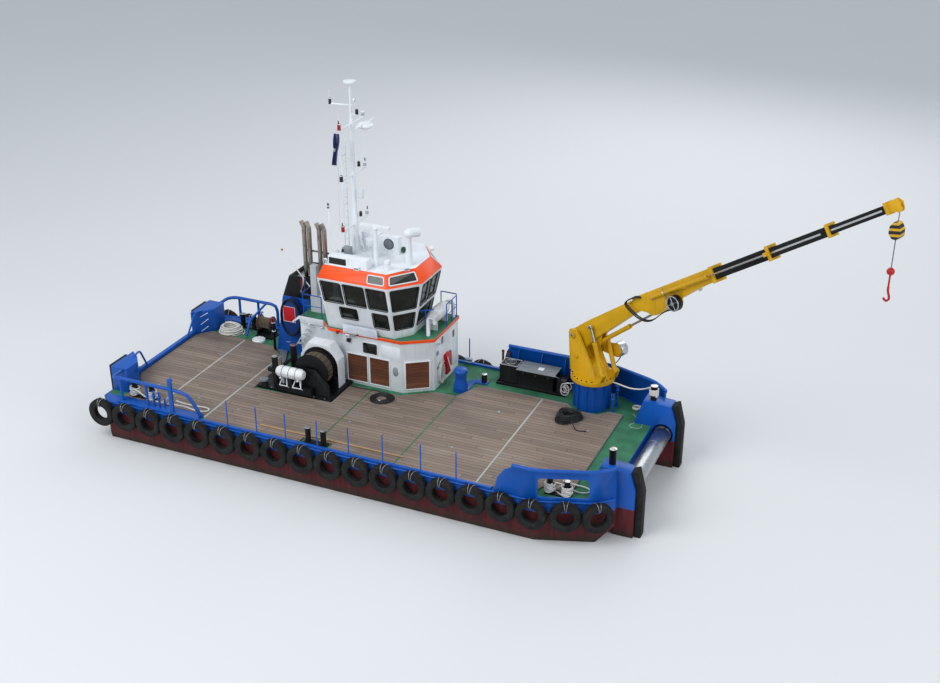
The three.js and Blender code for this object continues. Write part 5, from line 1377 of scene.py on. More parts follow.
class WORKBOAT_OT_deckhouse(bpy.types.Operator):
    """Deckhouse walls with their door, board panels, wall plate and banner board."""

    bl_idname = "workboat.deckhouse"
    bl_label = "Deckhouse"
    bl_options = {"REGISTER", "UNDO"}

    def execute(self, context):
        walls = remake("deckhouse", "house_walls", "white", "nonslip", "orange", "light_grey", width=0.014)
        mark(walls, 1, lambda c, n: abs(c.z - TIER) < 0.02 and n.z > 0.9 and c.y > 0.9)
        mark(walls, 2, lambda c, n: 5.58 < c.z < TIER - 0.001 and abs(n.z) < 0.8 and c.x > -3.99)
        mark(walls, 3, lambda c, n: c.z > 6.47 and c.y < 2.3)
        remake("deckhouse_door", "mess_door", "white", width=0.006)
        wall = Vector((-0.09, 0.88, 0)), Vector((1.03, 1.64, 0))
        panel = self.panel()
        # left foot on the wall, right foot
        feet = [
            (Vector((-2.64, 0.898, 0)), Vector((-1.64, 0.892, 0))),
            (Vector((-1.60, 0.891, 0)), Vector((-0.62, 0.884, 0))),
            (wall[0].lerp(wall[1], 0.08), wall[0].lerp(wall[1], 0.88)),
        ]
        panels = []
        for a, b in feet:
            d = (b - a).normalized()
            n = Vector((d.y, -d.x, 0))
            at = Matrix((
                (d.x, -n.x, 0, (a.x + b.x) / 2 + n.x * 0.004),
                (d.y, -n.y, 0, (a.y + b.y) / 2 + n.y * 0.004),
                (0, 0, 1, 4.10),
                (0, 0, 0, 1),
            ))
            wide = Matrix.Diagonal(((b - a).length / 1.0, 1, 1, 1))
            panels.append(moved(panel, at @ wide, "panel"))
        bpy.data.objects.remove(panel)
        fit(gathered("board_panels", *panels), "boat")
        plate = soften(block("wall_plate", (-1.01, 0.872, 4.79), (-0.14, 0.892, 5.37)), 0.006)
        fit(dress(plate, "white"), "boat")
        board = slab(
            "banner_board",
            [(-2.72, 0.80, 5.66), (-1.12, 0.80, 5.66), (-1.14, 0.74, 6.09), (-2.70, 0.74, 6.09)], 0.012,
        )
        fit(dress(soften(board, 0.003), "banner"), "boat")
        return {"FINISHED"}

    def panel(self):
        """One framed panel of boards, 1.0 m wide and 1.3 m high, its back on y = 0."""
        o = block("panel", (-0.5, -0.035, -0.64), (0.5, 0.0, 0.66))
        pick(o, lambda c, n: n.y < -0.9)
        bpy.ops.mesh.inset(thickness=0.045)
        bpy.ops.mesh.extrude_region_shrink_fatten(TRANSFORM_OT_shrink_fatten={"value": -0.022})
        done()
        soften(o, 0.006)
        dress(o, "white", "boards")
        return mark(o, 1, lambda c, n: n.y < -0.9 and abs(c.x) < 0.44 and abs(c.z) < 0.6 and c.y > -0.02)


# face, left and right fraction, sill, head of the wheelhouse panes
PANES = [
    (0, 0.03, 0.325, 7.06, 8.08), (0, 0.355, 0.66, 7.06, 8.08), (0, 0.69, 0.97, 7.06, 8.08),
    (0, 0.24, 0.5, 6.33, 6.90), (0, 0.72, 0.95, 6.13, 6.88), (1, 0.08, 0.92, 7.06, 8.08),
    (1, 0.08, 0.92, 6.13, 6.88), (2, 0.05, 0.48, 7.06, 8.08), (2, 0.52, 0.95, 7.06, 8.08),
    (2, 0.08, 0.92, 6.13, 6.88), (3, 0.08, 0.92, 7.06, 8.08), (3, 0.08, 0.92, 6.13, 6.88),
    (4, 0.03, 0.31, 7.06, 8.08), (4, 0.34, 0.645, 7.06, 8.08), (4, 0.675, 0.97, 7.06, 8.08),
    (4, 0.05, 0.28, 6.13, 6.88), (5, 0.08, 0.5, 7.06, 8.08),
]


def rounded_loop(corners, radius, steps=4):
    """A closed loop through four corners, each turned into a bend."""
    out = []
    n = len(corners)
    for i, p in enumerate(corners):
        a = (corners[i - 1] - p).normalized() * radius
        b = (corners[(i + 1) % n] - p).normalized() * radius
        for k in range(steps + 1):
            t = k / steps
            out.append(tuple(p + a * (1 - t) ** 2 + b * t * t))
    return out


class WORKBOAT_OT_wheelhouse(bpy.types.Operator):
    """Wheelhouse walls, door, window rubbers, glass and the helm inside."""

    bl_idname = "workboat.wheelhouse"
    bl_label = "Wheelhouse"
    bl_options = {"REGISTER", "UNDO"}

    def execute(self, context):
        remake("wheelhouse", "bridge_walls", "white", width=0.008)
        door = remake("wheelhouse_door", "bridge_door_leaf", "white", "black_plastic", width=0.006)
        mark(door, 1, lambda c, n: c.x < -3.479)
        dress(frame["nodes"]["wheelhouse_glass"], "glass")
        remake("helm_station", "helm_console", "black_plastic", "fabric_dark", width=0.03, steps=3)
        frames = []
        for side, f0, f1, z0, z1 in PANES:
            corners = [
                on_face(HOUSE_FOOT, HOUSE_EAVE, TIER, EAVE, side, f, z, 0.004)
                for f, z in ((f0, z0), (f1, z0), (f1, z1), (f0, z1))
            ]
            frames.append(line("rubber", rounded_loop(corners, 0.09), 0.02, 6, closed=True))
        rubbers = gathered("window_rubbers", *frames)
        fit(dress(rubbers, "black_plastic"), "boat")
        return {"FINISHED"}


class WORKBOAT_OT_roof(bpy.types.Operator):
    """Orange brim, white roof, the radar scanner on it and the panes in the brim."""

    bl_idname = "workboat.roof"
    bl_label = "Roof and its gear"
    bl_options = {"REGISTER", "UNDO"}

    def execute(self, context):
        roof = remake("wheelhouse_roof", "bridge_roof", "white", "orange", width=0.012)
        mark(roof, 1, lambda c, n: EAVE - 0.01 < c.z < ROOF + 0.02 and self.outer(c) and n.z < 0.93)
        remake("radar_scanner", "scanner_bar", "white_plastic", width=0.03, steps=3)
        panes, surrounds = [], []
        for side, f0, f1 in ((0, 0.72, 0.96), (1, 0.08, 0.90), (3, 0.10, 0.92), (4, 0.04, 0.28)):
            corners = [
                on_face(HOUSE_EAVE, BRIM_TOP, EAVE, ROOF, side, f, EAVE + 0.5 * t, 0.0)
                for f, t in ((f0, 0.2), (f1, 0.2), (f1, 0.78), (f0, 0.78))
            ]
            normal = (corners[1] - corners[0]).cross(corners[3] - corners[0]).normalized()
            surrounds.append(
                line(
                    "frame", rounded_loop([c + normal * 0.012 for c in corners], 0.07), 0.028, 6,
                    closed=True,
                )
            )
            panes.append(slab("pane", [c - normal * 0.006 for c in corners], 0.014))
        fit(dress(gathered("brim_panes", *panes), "glass"), "boat")
        fit(dress(gathered("brim_frames", *surrounds), "white"), "boat")
        return {"FINISHED"}

    def outer(self, c):
        """True outside the inner lining of the brim."""
        at = mix(HOUSE_EAVE, BRIM_TOP, min(1, max(0, (c.z - EAVE) / 0.5)))
        for i, a in enumerate(at):
            a, b = Vector(a), Vector(at[(i + 1) % 6])
            d = (b - a).normalized()
            off = (c.x - a.x) * d.y - (c.y - a.y) * d.x
            if off > -0.03:
                return True
        return False


class WORKBOAT_OT_mast(bpy.types.Operator):
    """Signal mast."""

    bl_idname = "workboat.mast"
    bl_label = "Mast"
    bl_options = {"REGISTER", "UNDO"}

    def execute(self, context):
        remake("mast", "signal_mast", "white", width=0.004, angle=50)
        return {"FINISHED"}


class WORKBOAT_OT_funnel(bpy.types.Operator):
    """Funnel casing, the oval locker and the exhaust pipes."""

    bl_idname = "workboat.funnel"
    bl_label = "Funnel and exhausts"
    bl_options = {"REGISTER", "UNDO"}

    def execute(self, context):
        casing = remake(
            "funnel_casing", "funnel_shell", "blue", "black", "navy", "white", "light_grey",
            width=0.02, steps=3, cuts=[((0, 0, 6.1), (0, 0, 1))],
        )
        mark(casing, 1, lambda c, n: c.z > 6.1 and c.y > 2.2)
        mark(casing, 2, lambda c, n: c.y < 2.249)
        mark(casing, 3, lambda c, n: c.x > -5.12)
        mark(casing, 4, lambda c, n: abs(c.z - 6.79) < 0.02 and n.z > 0.9)
        remake("exhaust_pipes", "exhaust_stacks", "exhaust", width=0.004, angle=60)
        return {"FINISHED"}


class WORKBOAT_OT_upper_deck(bpy.types.Operator):
    """Rails and the covered tender on the deckhouse top."""

    bl_idname = "workboat.upper_deck"
    bl_label = "Upper deck"
    bl_options = {"REGISTER", "UNDO"}

    def execute(self, context):
        for end in ("fore", "aft"):
            remake("upper_rail_" + end, "tier_rail_" + end, "blue", width=0.0, angle=70)
        remake("covered_tender", "tender_cover", "cover", width=0.03, steps=3, angle=50)
        return {"FINISHED"}


class WORKBOAT_OT_winches(bpy.types.Operator):
    """Main tow winch, its hood, the tugger, the capstan and the raft canister beside them."""

    bl_idname = "workboat.winches"
    bl_label = "Winches"
    bl_options = {"REGISTER", "UNDO"}

    def execute(self, context):
        bed = remake("winch_frame", "winch_bed", "black", "bright", "grey", width=0.012)
        mark(bed, 1, lambda c, n: n.z > 0.9 and (c.z > 4.87 or 4.71 < c.z < 4.73) and c.x < -4.8)
        mark(bed, 2, lambda c, n: 3.64 < c.z < 3.75 and math.hypot(c.x + 5.62, c.y + 0.9) < 0.21)
        remake("winch_hood", "winch_cover", "white", width=0.06, steps=4, angle=25)
        self.drum(
            "winch_drum_starboard", "tow_drum_starboard", -0.38, 0.29, 0.78, "main_drum_starboard",
            (-0.75, -0.01),
        )
        self.drum(
            "winch_drum_port", "tow_drum_port", 0.265, 0.225, 0.80, "main_drum_port", (0.0003, 0.5397),
        )
        remake("life_raft", "raft_canister", "white_plastic", width=0.02, steps=3, angle=40)
        tugger = remake("tugger_frame", "tugger_bed", "black", "bright", width=0.012)
        mark(tugger, 1, lambda c, n: n.z > 0.9 and 3.99 < c.z < 4.01 and c.x < -8.8)
        remake("tugger_drum", "tugger_rope_drum", "brown_rope", width=0.01)
        base = remake("capstan_base", "capstan_bed", "blue", "black", "bright", width=0.01)
        mark(base, 1, lambda c, n: c.x > 2.3 and c.z > 3.4)
        mark(base, 2, lambda c, n: c.x > 2.3 and c.z > 3.75 and n.z > 0.9)
        remake("capstan_drum", "capstan_head", "blue", width=0.02, steps=3, angle=50)
        boxes = remake("power_pack", "power_boxes", "black", "grey", width=0.02, steps=3)
        mark(boxes, 1, lambda c, n: c.z > 4.1 and 4.0 < c.x < 5.73 and n.z > 0.5)
        return {"FINISHED"}

    def drum(self, node, name, y, half, flange, body, hub):
        """A drum of rope: two flanges on a shaft with close turns laid between them."""
        x, z = DRUM
        core = rod("core", (x, y - half + 0.03, z), (x, y + half - 0.03, z), 0.56, 48)
        parts = [core, rod("shaft", (x, hub[0], z), (x, hub[1], z), 0.09, 24)]
        for s in (-1, 1):
            disc = rod("disc", (x, y + s * half, z), (x, y + s * (half - 0.04), z), flange, 48)
            pick(disc, lambda c, n: n.y * s > 0.9)
            bpy.ops.mesh.inset(thickness=0.05)
            bpy.ops.mesh.extrude_region_shrink_fatten(TRANSFORM_OT_shrink_fatten={"value": 0.015})
            bpy.ops.mesh.inset(thickness=0.5)
            bpy.ops.mesh.extrude_region_shrink_fatten(TRANSFORM_OT_shrink_fatten={"value": -0.015})
            done()
            parts.append(disc)
        drum = soften(gathered(name, *parts), 0.008)
        fit(dress(drum, "black"), body, [node])
        turns = []
        wide = 2 * (half - 0.045)
        count = int(wide / 0.052)
        first = hoop("turn", (x, y, z), (x, y + 1, z), 0.585, 0.027, 56, 8)
        for layer in range(3):
            for i in range(count - layer % 2):
                shift = -wide / 2 + 0.027 + (i + 0.5 * (layer % 2)) * wide / count
                grow = 1 + layer * 0.078
                at = Matrix.Translation((x, y + shift, z)) @ Matrix.Diagonal(
                    (grow, 1, grow, 1)
                ) @ Matrix.Translation((-x, -y, -z))
                turns.append(moved(first, at, "turn"))
        bpy.data.objects.remove(first)
        rope = gathered(name + "_rope", *turns)
        hold(rope)
        bpy.ops.object.shade_smooth()
        fit(dress(rope, "brown_rope"), body)


class WORKBOAT_OT_crane(bpy.types.Operator):
    """Deck crane: pedestal, column, booms, cylinders, telescopes, block and hook."""

    bl_idname = "workboat.crane"
    bl_label = "Crane"
    bl_options = {"REGISTER", "UNDO"}

    def execute(self, context):
        remake("crane_pedestal", "pedestal", "blue", width=0.01)
        column = remake("crane_column", "column_frame", "yellow", "bright", width=0.014)
        mark(column, 1, self.on_winch)
        for side in ("starboard", "port"):
            remake("luff_barrel_" + side, "luff_cylinder_" + side, "yellow", width=0.006, angle=45)
            remake("luff_rod_" + side, "luff_piston_" + side, "chrome", width=0.004, angle=45)
        remake("jib_barrel", "fold_cylinder", "yellow", width=0.006, angle=45)
        remake("jib_rod", "fold_piston", "chrome", width=0.004, angle=45)
        remake("main_boom", "inner_boom", "yellow", width=0.03, steps=3)
        housing = remake("outer_boom", "jib_housing", "yellow", "chrome", "black", width=0.02, steps=3)
        mark(housing, 1, self.on_bare_barrel)
        mark(housing, 2, self.on_reel)
        ends = (6.74, 9.33, 11.64)
        for i, end in enumerate(ends, 1):
            section = remake(
                f"boom_section_{i}", f"telescope_{i}", "black", "yellow", "chrome", width=0.008,
            )
            mark(section, 1, lambda c, n: jib_place(c)[0] > end - 0.13)
            mark(section, 2, lambda c, n: jib_place(c)[2] < -0.36 and jib_place(c)[0] < 6.62)
            if i == 1:
                mark(section, 1, lambda c, n: jib_place(c)[2] < -0.22 and jib_place(c)[0] > 6.62)
        hook = remake(
            "hook_block", "hook_and_block", "red", "bands", "wire", width=0.012, steps=3, angle=50,
        )
        mark(hook, 1, lambda c, n: 14.335 < c.z < 14.905)
        mark(hook, 2, lambda c, n: c.z > 14.905 or 13.4 < c.z < 14.335)
        return {"FINISHED"}

    def on_winch(self, c, n):
        """On the drum of the column's own winch."""
        axis = in_boom(0.76, 5.95)
        d = Vector((math.cos(BOOM_AZ), math.sin(BOOM_AZ)))
        reach = (c - axis).xy.dot(d)
        across = (c - axis).xy.dot(Vector((-d.y, d.x)))
        return across > 0.52 and math.hypot(reach, c.z - 5.95) < 0.31

    def on_bare_barrel(self, c, n):
        """On the unpainted first length of the extension cylinder."""
        along, above, across = jib_place(c)
        return 0.89 < along < 1.6 and across < -0.31 and abs(above - 0.04) < 0.09

    def on_reel(self, c, n):
        """On the hose reel below the outer boom."""
        along, above, across = jib_place(c)
        return math.hypot(along - 2.05, above + 0.44) < 0.32 and across < -0.39


class WORKBOAT_OT_deck_fittings(bpy.types.Operator):
    """Valves, hatch, lashing pole and small steel on the deck and the stern blocks."""

    bl_idname = "workboat.deck_fittings"
    bl_label = "Deck fittings"
    bl_options = {"REGISTER", "UNDO"}

    def execute(self, context):
        # a pale bead along the planks' edges where they meet the steel
        edge = [
            (
                8.88, -3.58,
            ), (8.88, 2.65), (8.32, 2.65), (7.9, 2.23), (6.94, 2.23), (6.52, 2.65), (2.66, 2.65),
            (2.1, 1.4), (1.18, 1.4),
        ]
        bead = line("bead", [(px, py, 3.396) for px, py in edge], 0.016, 6)
        assembly("plank_edging", "white_paint", *coated("grey", bead))
        # X, Y, foot, top, size
        stands = [
            (
                -8.76, -4.22, STEEL_DECK, 4.08, 1.0,
            ), (-8.50, -4.22, STEEL_DECK, 4.05, 1.0), (-8.34, -4.08, STEEL_DECK, 3.77, 0.8),
            (
                -10.3, 3.41, STEEL_DECK, 3.9, 1.0,
            ), (-8.68, 3.9, STEEL_DECK, 4.16, 1.1), (8.36, 2.86, STEEL_DECK, 4.1, 1.0),
            (8.4, 3.32, STEEL_DECK, 4.3, 1.0),
        ]
        parts = []
        for x, y, low, high, size in stands:
            parts += valve(x, y, low, high, size)
        parts += bar("blue", (8.36, 2.86, 3.62), (8.4, 3.32, 3.62), 0.03)
        assembly("valve_stands", "hull_paint", *parts)
        lid = soften(rod("lid", (-8.16, 2.75, STEEL_DECK), (-8.16, 2.75, 3.43), 0.31, 40, 0.29), 0.012, 3)
        grip = line(
            "grip", [(-8.28, 2.75, 3.42), (-8.26, 2.75, 3.47), (-8.06, 2.75, 3.47), (-8.04, 2.75, 3.42)],
            0.012, 6,
        )
        dogs = bolts((-8.16, 2.75, 3.425), 0.24, 8, 0.022)
        assembly("deck_hatch", "white_paint", *coated("white", lid, grip), *dogs)
        pole = bar("timber", (-4.00, -3.85, 3.432), (2.25, -3.82, 3.432), 0.032, 12, 0.024)
        ties = [
            hoop("tie", (x, -3.84, 3.432), (x + 1, -3.84, 3.432), 0.031, 0.006, 16, 6)
            for x in (-3.2, -0.8, 1.5)
        ]
        assembly("lashing_pole", "deck_wood", *pole, *coated("white_rope", *ties))
        bars = []
        for a, b in (
            ((-11.4, 3.98), (-10.5, 4.52)), ((-11.37, 3.55), (-10.5, 4.15)),
            ((-11.32, 3.23), (-10.54, 3.77)),
        ):
            bars += bar("white", (max(a[0], -11.2), 2.36, a[1]), (b[0], 2.36, min(b[1], 4.44)), 0.016, 8)
        assembly("stern_bars", "white_paint", *bars)
        plate = slab(
            "ramp",
            [
                (-6.87, 2.25, 3.425), (-6.22, 1.53, 3.425), (-5.95, 1.0, 3.425), (-5.97, 1.4, 3.425),
                (-6.4, 2.3, 3.425),
            ],
            0.012,
        )
        assembly("ramp_plate", "hull_paint", *coated("grey", soften(plate, 0.003)))
        posts = []
        for x in (3.01, 3.27):
            posts += bar("rusty", (x, 4.3, STEEL_DECK), (x, 4.3, 4.38), 0.05, 16)
            posts += coated("rusty", soften(rod("collar", (x, 4.3, 4.3), (x, 4.3, 4.38), 0.062, 16), 0.006))
        posts += box("white", (1.22, 4.36, 3.43), (1.5, 4.5, 3.66), 0.012)
        posts += coated("blue", soften(block("band", (1.21, 4.35, 3.5), (1.51, 4.51, 3.56)), 0.004))
        assembly("port_side_posts", "hull_paint", *posts)
        ring = bolts((-5.62, -0.9, 3.72), 0.14, 6, 0.02)
        pads = []
        for x, y in (
            (-9.7, -2.6), (-7.5, -2.9), (-5.5, -3.1), (-3.2, -2.4), (-0.9, -2.2), (1.3, -2.6), (3.6, -2.4),
            (6.6, -2.6), (4.2, 0.9), (-8.9, 0.8),
        ):
            cup = soften(rod("cup", (x, y, DECK - 0.004), (x, y, DECK + 0.008), 0.075, 20), 0.003)
            bar_across = rod("pin", (x - 0.06, y, DECK + 0.01), (x + 0.06, y, DECK + 0.01), 0.009, 6)
            pads += coated("galvanised", cup, bar_across)
        assembly("lashing_points", "bright_steel", *ring, *pads)
        wheel = []
        x = -10.46
        wheel += coated("blue", hoop("wheel", (x, -2.9, 4.1), (x + 1, -2.9, 4.1), 0.14, 0.014, 28, 6))
        wheel += coated(
            "blue",
            *copies_round(rod("spoke", (x, -2.9, 4.23), (x, -2.9, 3.97), 0.01, 6), (x, -2.9, 4.1), 3, "X"),
        )
        wheel += bar("blue", (-10.5, -2.9, 4.1), (-10.44, -2.9, 4.1), 0.04)
        assembly("stern_handwheel", "hull_paint", *wheel)
        return {"FINISHED"}


class WORKBOAT_OT_house_fittings(bpy.types.Operator):
    """Lamps, fire gear, window rims, porthole rims and the stair of the deckhouse."""

    bl_idname = "workboat.house_fittings"
    bl_label = "Deckhouse fittings"
    bl_options = {"REGISTER", "UNDO"}

    def execute(self, context):
        parts = []
        y = 0.84
        parts += drum_lamp((-2.96, y - 0.09, 5.64), (-2.96, -5, 5.64), 0.07, 0.09, "red", "red_lens")
        parts += floodlight((-2.50, y - 0.13, 5.56), (-2.5, -6, 3.4), 0.17)
        parts += box("black_plastic", (-2.58, 0.8, 5.26), (-2.42, 0.895, 5.4), 0.012)
        parts += box("grey_plastic", (-2.31, 0.78, 5.55), (-2.17, 0.848, 5.7), 0.012)
        parts += drum_lamp((-2.04, y - 0.05, 5.67), (-2.04, -5, 5.67), 0.05, 0.07, "red", "red_lens")
        parts += bar("orange", (-0.39, 0.85, 5.66), (-0.39, 0.72, 5.74), 0.02)
        parts += coated("grey_plastic", ball("cowl", (-0.375, 0.87, 4.28), 0.13, (1, 0.5, 1.65), 24))
        parts += coated(
            "white", hoop("cowl_rim", (-0.375, 0.878, 4.28), (-0.375, 1.9, 4.28), 0.135, 0.016, 28, 6),
        )
        parts += drum_lamp((1.12, 1.96, 5.37), (4, 1.96, 4.6), 0.075, 0.09)
        parts += box("grey_plastic", (1.03, 1.86, 4.84), (1.06, 2.04, 5.0), 0.006)
        parts += box("grey_plastic", (1.03, 1.9, 4.19), (1.09, 2.02, 4.31), 0.01)
        assembly("house_lamps", "white_paint", *parts)
        gear = box("red", (1.031, 2.56, 3.66), (1.19, 2.94, 4.56), 0.03)
        strap = slab(
            "strap", [
                (1.205, 2.56, 4.45), (1.205, 2.6, 4.55), (1.205, 2.94, 3.8), (1.205, 2.9, 3.7),
            ], 0.006,
        )
        gear += coated("white", strap)
        gear += bar("red", (1.1, 3.06, 3.9), (1.1, 3.06, 4.5), 0.07, 20)
        gear += coated(
            "black_plastic", soften(
                rod("neck", (1.1, 3.06, 4.5), (1.1, 3.06, 4.58), 0.03, 12, 0.02), 0.004,
            ),
        )
        gear += bar("red", (1.03, 2.14, 4.42), (1.2, 2.14, 4.42), 0.018)
        assembly("fire_gear", "white_paint", *gear)
        # window and porthole rims, with the panes that the CAD's openings lack
        corners = [Vector((x, 0.885, z)) for x, z in ((-1.88, 4.84), (-1.19, 4.84), (-1.19, 5.36), (-1.88, 5.36))]
        rims = coated("white", line("rim", rounded_loop(corners, 0.09), 0.022, 6, closed=True))
        rims += coated("glass", soften(block("pane", (-1.875, 0.915, 4.845), (-1.195, 0.93, 5.355)), 0.003))
        corners = [Vector((x, 4.056, z)) for x, z in ((-2.6, 4.7), (-2.6, 5.25), (-1.9, 5.25), (-1.9, 4.7))]
        rims += coated("white", line("rim", rounded_loop(corners, 0.09), 0.022, 6, closed=True))
        corners = [Vector((1.034, y, z)) for y, z in ((2.31, 5.1), (2.55, 5.1), (2.55, 5.5), (2.31, 5.5))]
        rims += coated("white", line("rim", rounded_loop(corners, 0.1), 0.02, 6, closed=True))
        rims += coated("glass", soften(block("pane", (0.985, 2.31, 5.1), (0.997, 2.55, 5.5)), 0.003))
        assembly("house_window_rims", "white_paint", *rims)
        lamps = drum_lamp((-4.67, 1.36, 5.36), (-4.67, 0.6, 4.4), 0.07, 0.08)
        lamps += drum_lamp((-4.06, 1.36, 5.34), (-4.06, 0.6, 4.4), 0.06, 0.07)
        for z in (4.45, 4.68, 4.91, 5.14, 5.37):
            x = -5.28 + (z - 4.45) * 0.62
            tread = soften(block("tread", (x, 1.28, z - 0.012), (x + 0.22, 1.44, z + 0.012)), 0.004)
            lamps += coated("light_grey", tread)
        for x in (-5.3, -5.06):
            lamps += bar("white", (x, 1.3, 4.36), (x + 0.66, 1.3, 5.44), 0.016, 8)
        assembly("aft_stair", "white_paint", *lamps)
        return {"FINISHED"}


class WORKBOAT_OT_roof_gear(bpy.types.Operator):
    """Floodlights, lamps, fan and box on the wheelhouse roof, and blinds behind the glass."""

    bl_idname = "workboat.roof_gear"
    bl_label = "Roof gear"
    bl_options = {"REGISTER", "UNDO"}

    def execute(self, context):
        parts = []
        parts += floodlight((-1.83, 0.52, 8.74), (-1.83, -6, 5.5), 0.22)
        parts += drum_lamp((-3.3, 0.62, 8.84), (-4.2, -6, 6), 0.11, 0.1)
        parts += floodlight((0.06, 1.3, 8.74), (4, -4, 6), 0.2)
        parts += coated("white_plastic", ball("dome", (0.04, 3.66, 8.78), 0.12, (1, 1, 0.85), 24))
        parts += floodlight((-3.2, 1.2, 8.92), (-9, -1, 5), 0.18)
        parts += floodlight((-3.2, 1.42, 8.92), (-9, 1, 5), 0.18)
        parts += bar("white", (-3.2, 1.1, 8.7), (-3.2, 1.1, 8.86), 0.025)
        parts += bar("white", (-3.2, 1.31, 8.7), (-3.2, 1.31, 8.82), 0.03)
        parts += bar("white", (-3.2, 1.08, 8.8), (-3.2, 1.54, 8.8), 0.02)
        assembly("roof_floodlights", "white_paint", *parts)
        parts = lantern((-2.9, 1.4, 8.7), "clear_lens", 0.06, 0.42)
        parts += box("grey_plastic", (-3.05, 1.6, 8.7), (-2.72, 1.9, 9.08), 0.03)
        parts += coated("ball_green", ball("cover", (-0.92, 2.97, 8.83), 0.11, (1, 1, 1.1), 24))
        parts += bar("black_plastic", (-0.92, 2.97, 8.69), (-0.92, 2.97, 8.76), 0.05)
        front = block("front", (-3.12, 0.625, 8.76), (-2.35, 0.638, 9.03))
        parts += coated("black_plastic", soften(front, 0.006))
        # the air conditioner's fan: two rings and three bars over a round back
        at, aft = (-1.42, 2.61, 9.12), (-1.42, 1.6, 9.12)
        fan_bar = rod("fan_bar", (-1.42, 2.608, 9.33), (-1.42, 2.608, 8.91), 0.006, 6)
        fan = [hoop("fan_ring", at, aft, 0.22, 0.014, 32, 6), hoop("fan_inner", at, aft, 0.13, 0.006, 28, 6)]
        parts += coated("black_plastic", *fan, *copies_round(fan_bar, at, 6, "Y"))
        fan_back = rod("fan_back", (-1.42, 2.617, 9.12), (-1.42, 2.6, 9.12), 0.2, 28)
        parts += coated("grey", soften(fan_back, 0.003))
        assembly("roof_boxes", "dark_plastic", *parts)
        blinds = []
        # face, left and right fraction, sill, head
        for side, f0, f1, z0, z1 in (
            (0, 0.03, 0.18, 7.1, 8.08), (0, 0.74, 0.94, 6.15, 6.86), (1, 0.62, 0.92, 6.15, 6.86),
        ):
            corners = [
                on_face(HOUSE_FOOT, HOUSE_EAVE, TIER, EAVE, side, f, z, -0.085)
                for f, z in ((f0, z0), (f1, z0), (f1, z1), (f0, z1))
            ]
            blind = slab("blind", corners, 0.006)
            pick(blind, lambda c, n: True)
            bpy.ops.mesh.subdivide(number_cuts=6)
            done()
            for v in blind.data.vertices:
                v.co += Vector((0, 0.006, 0)) * math.sin(v.co.z * 90)
            blinds += coated("blind", blind)
        assembly("window_blinds", "white_paint", *blinds)
        return {"FINISHED"}


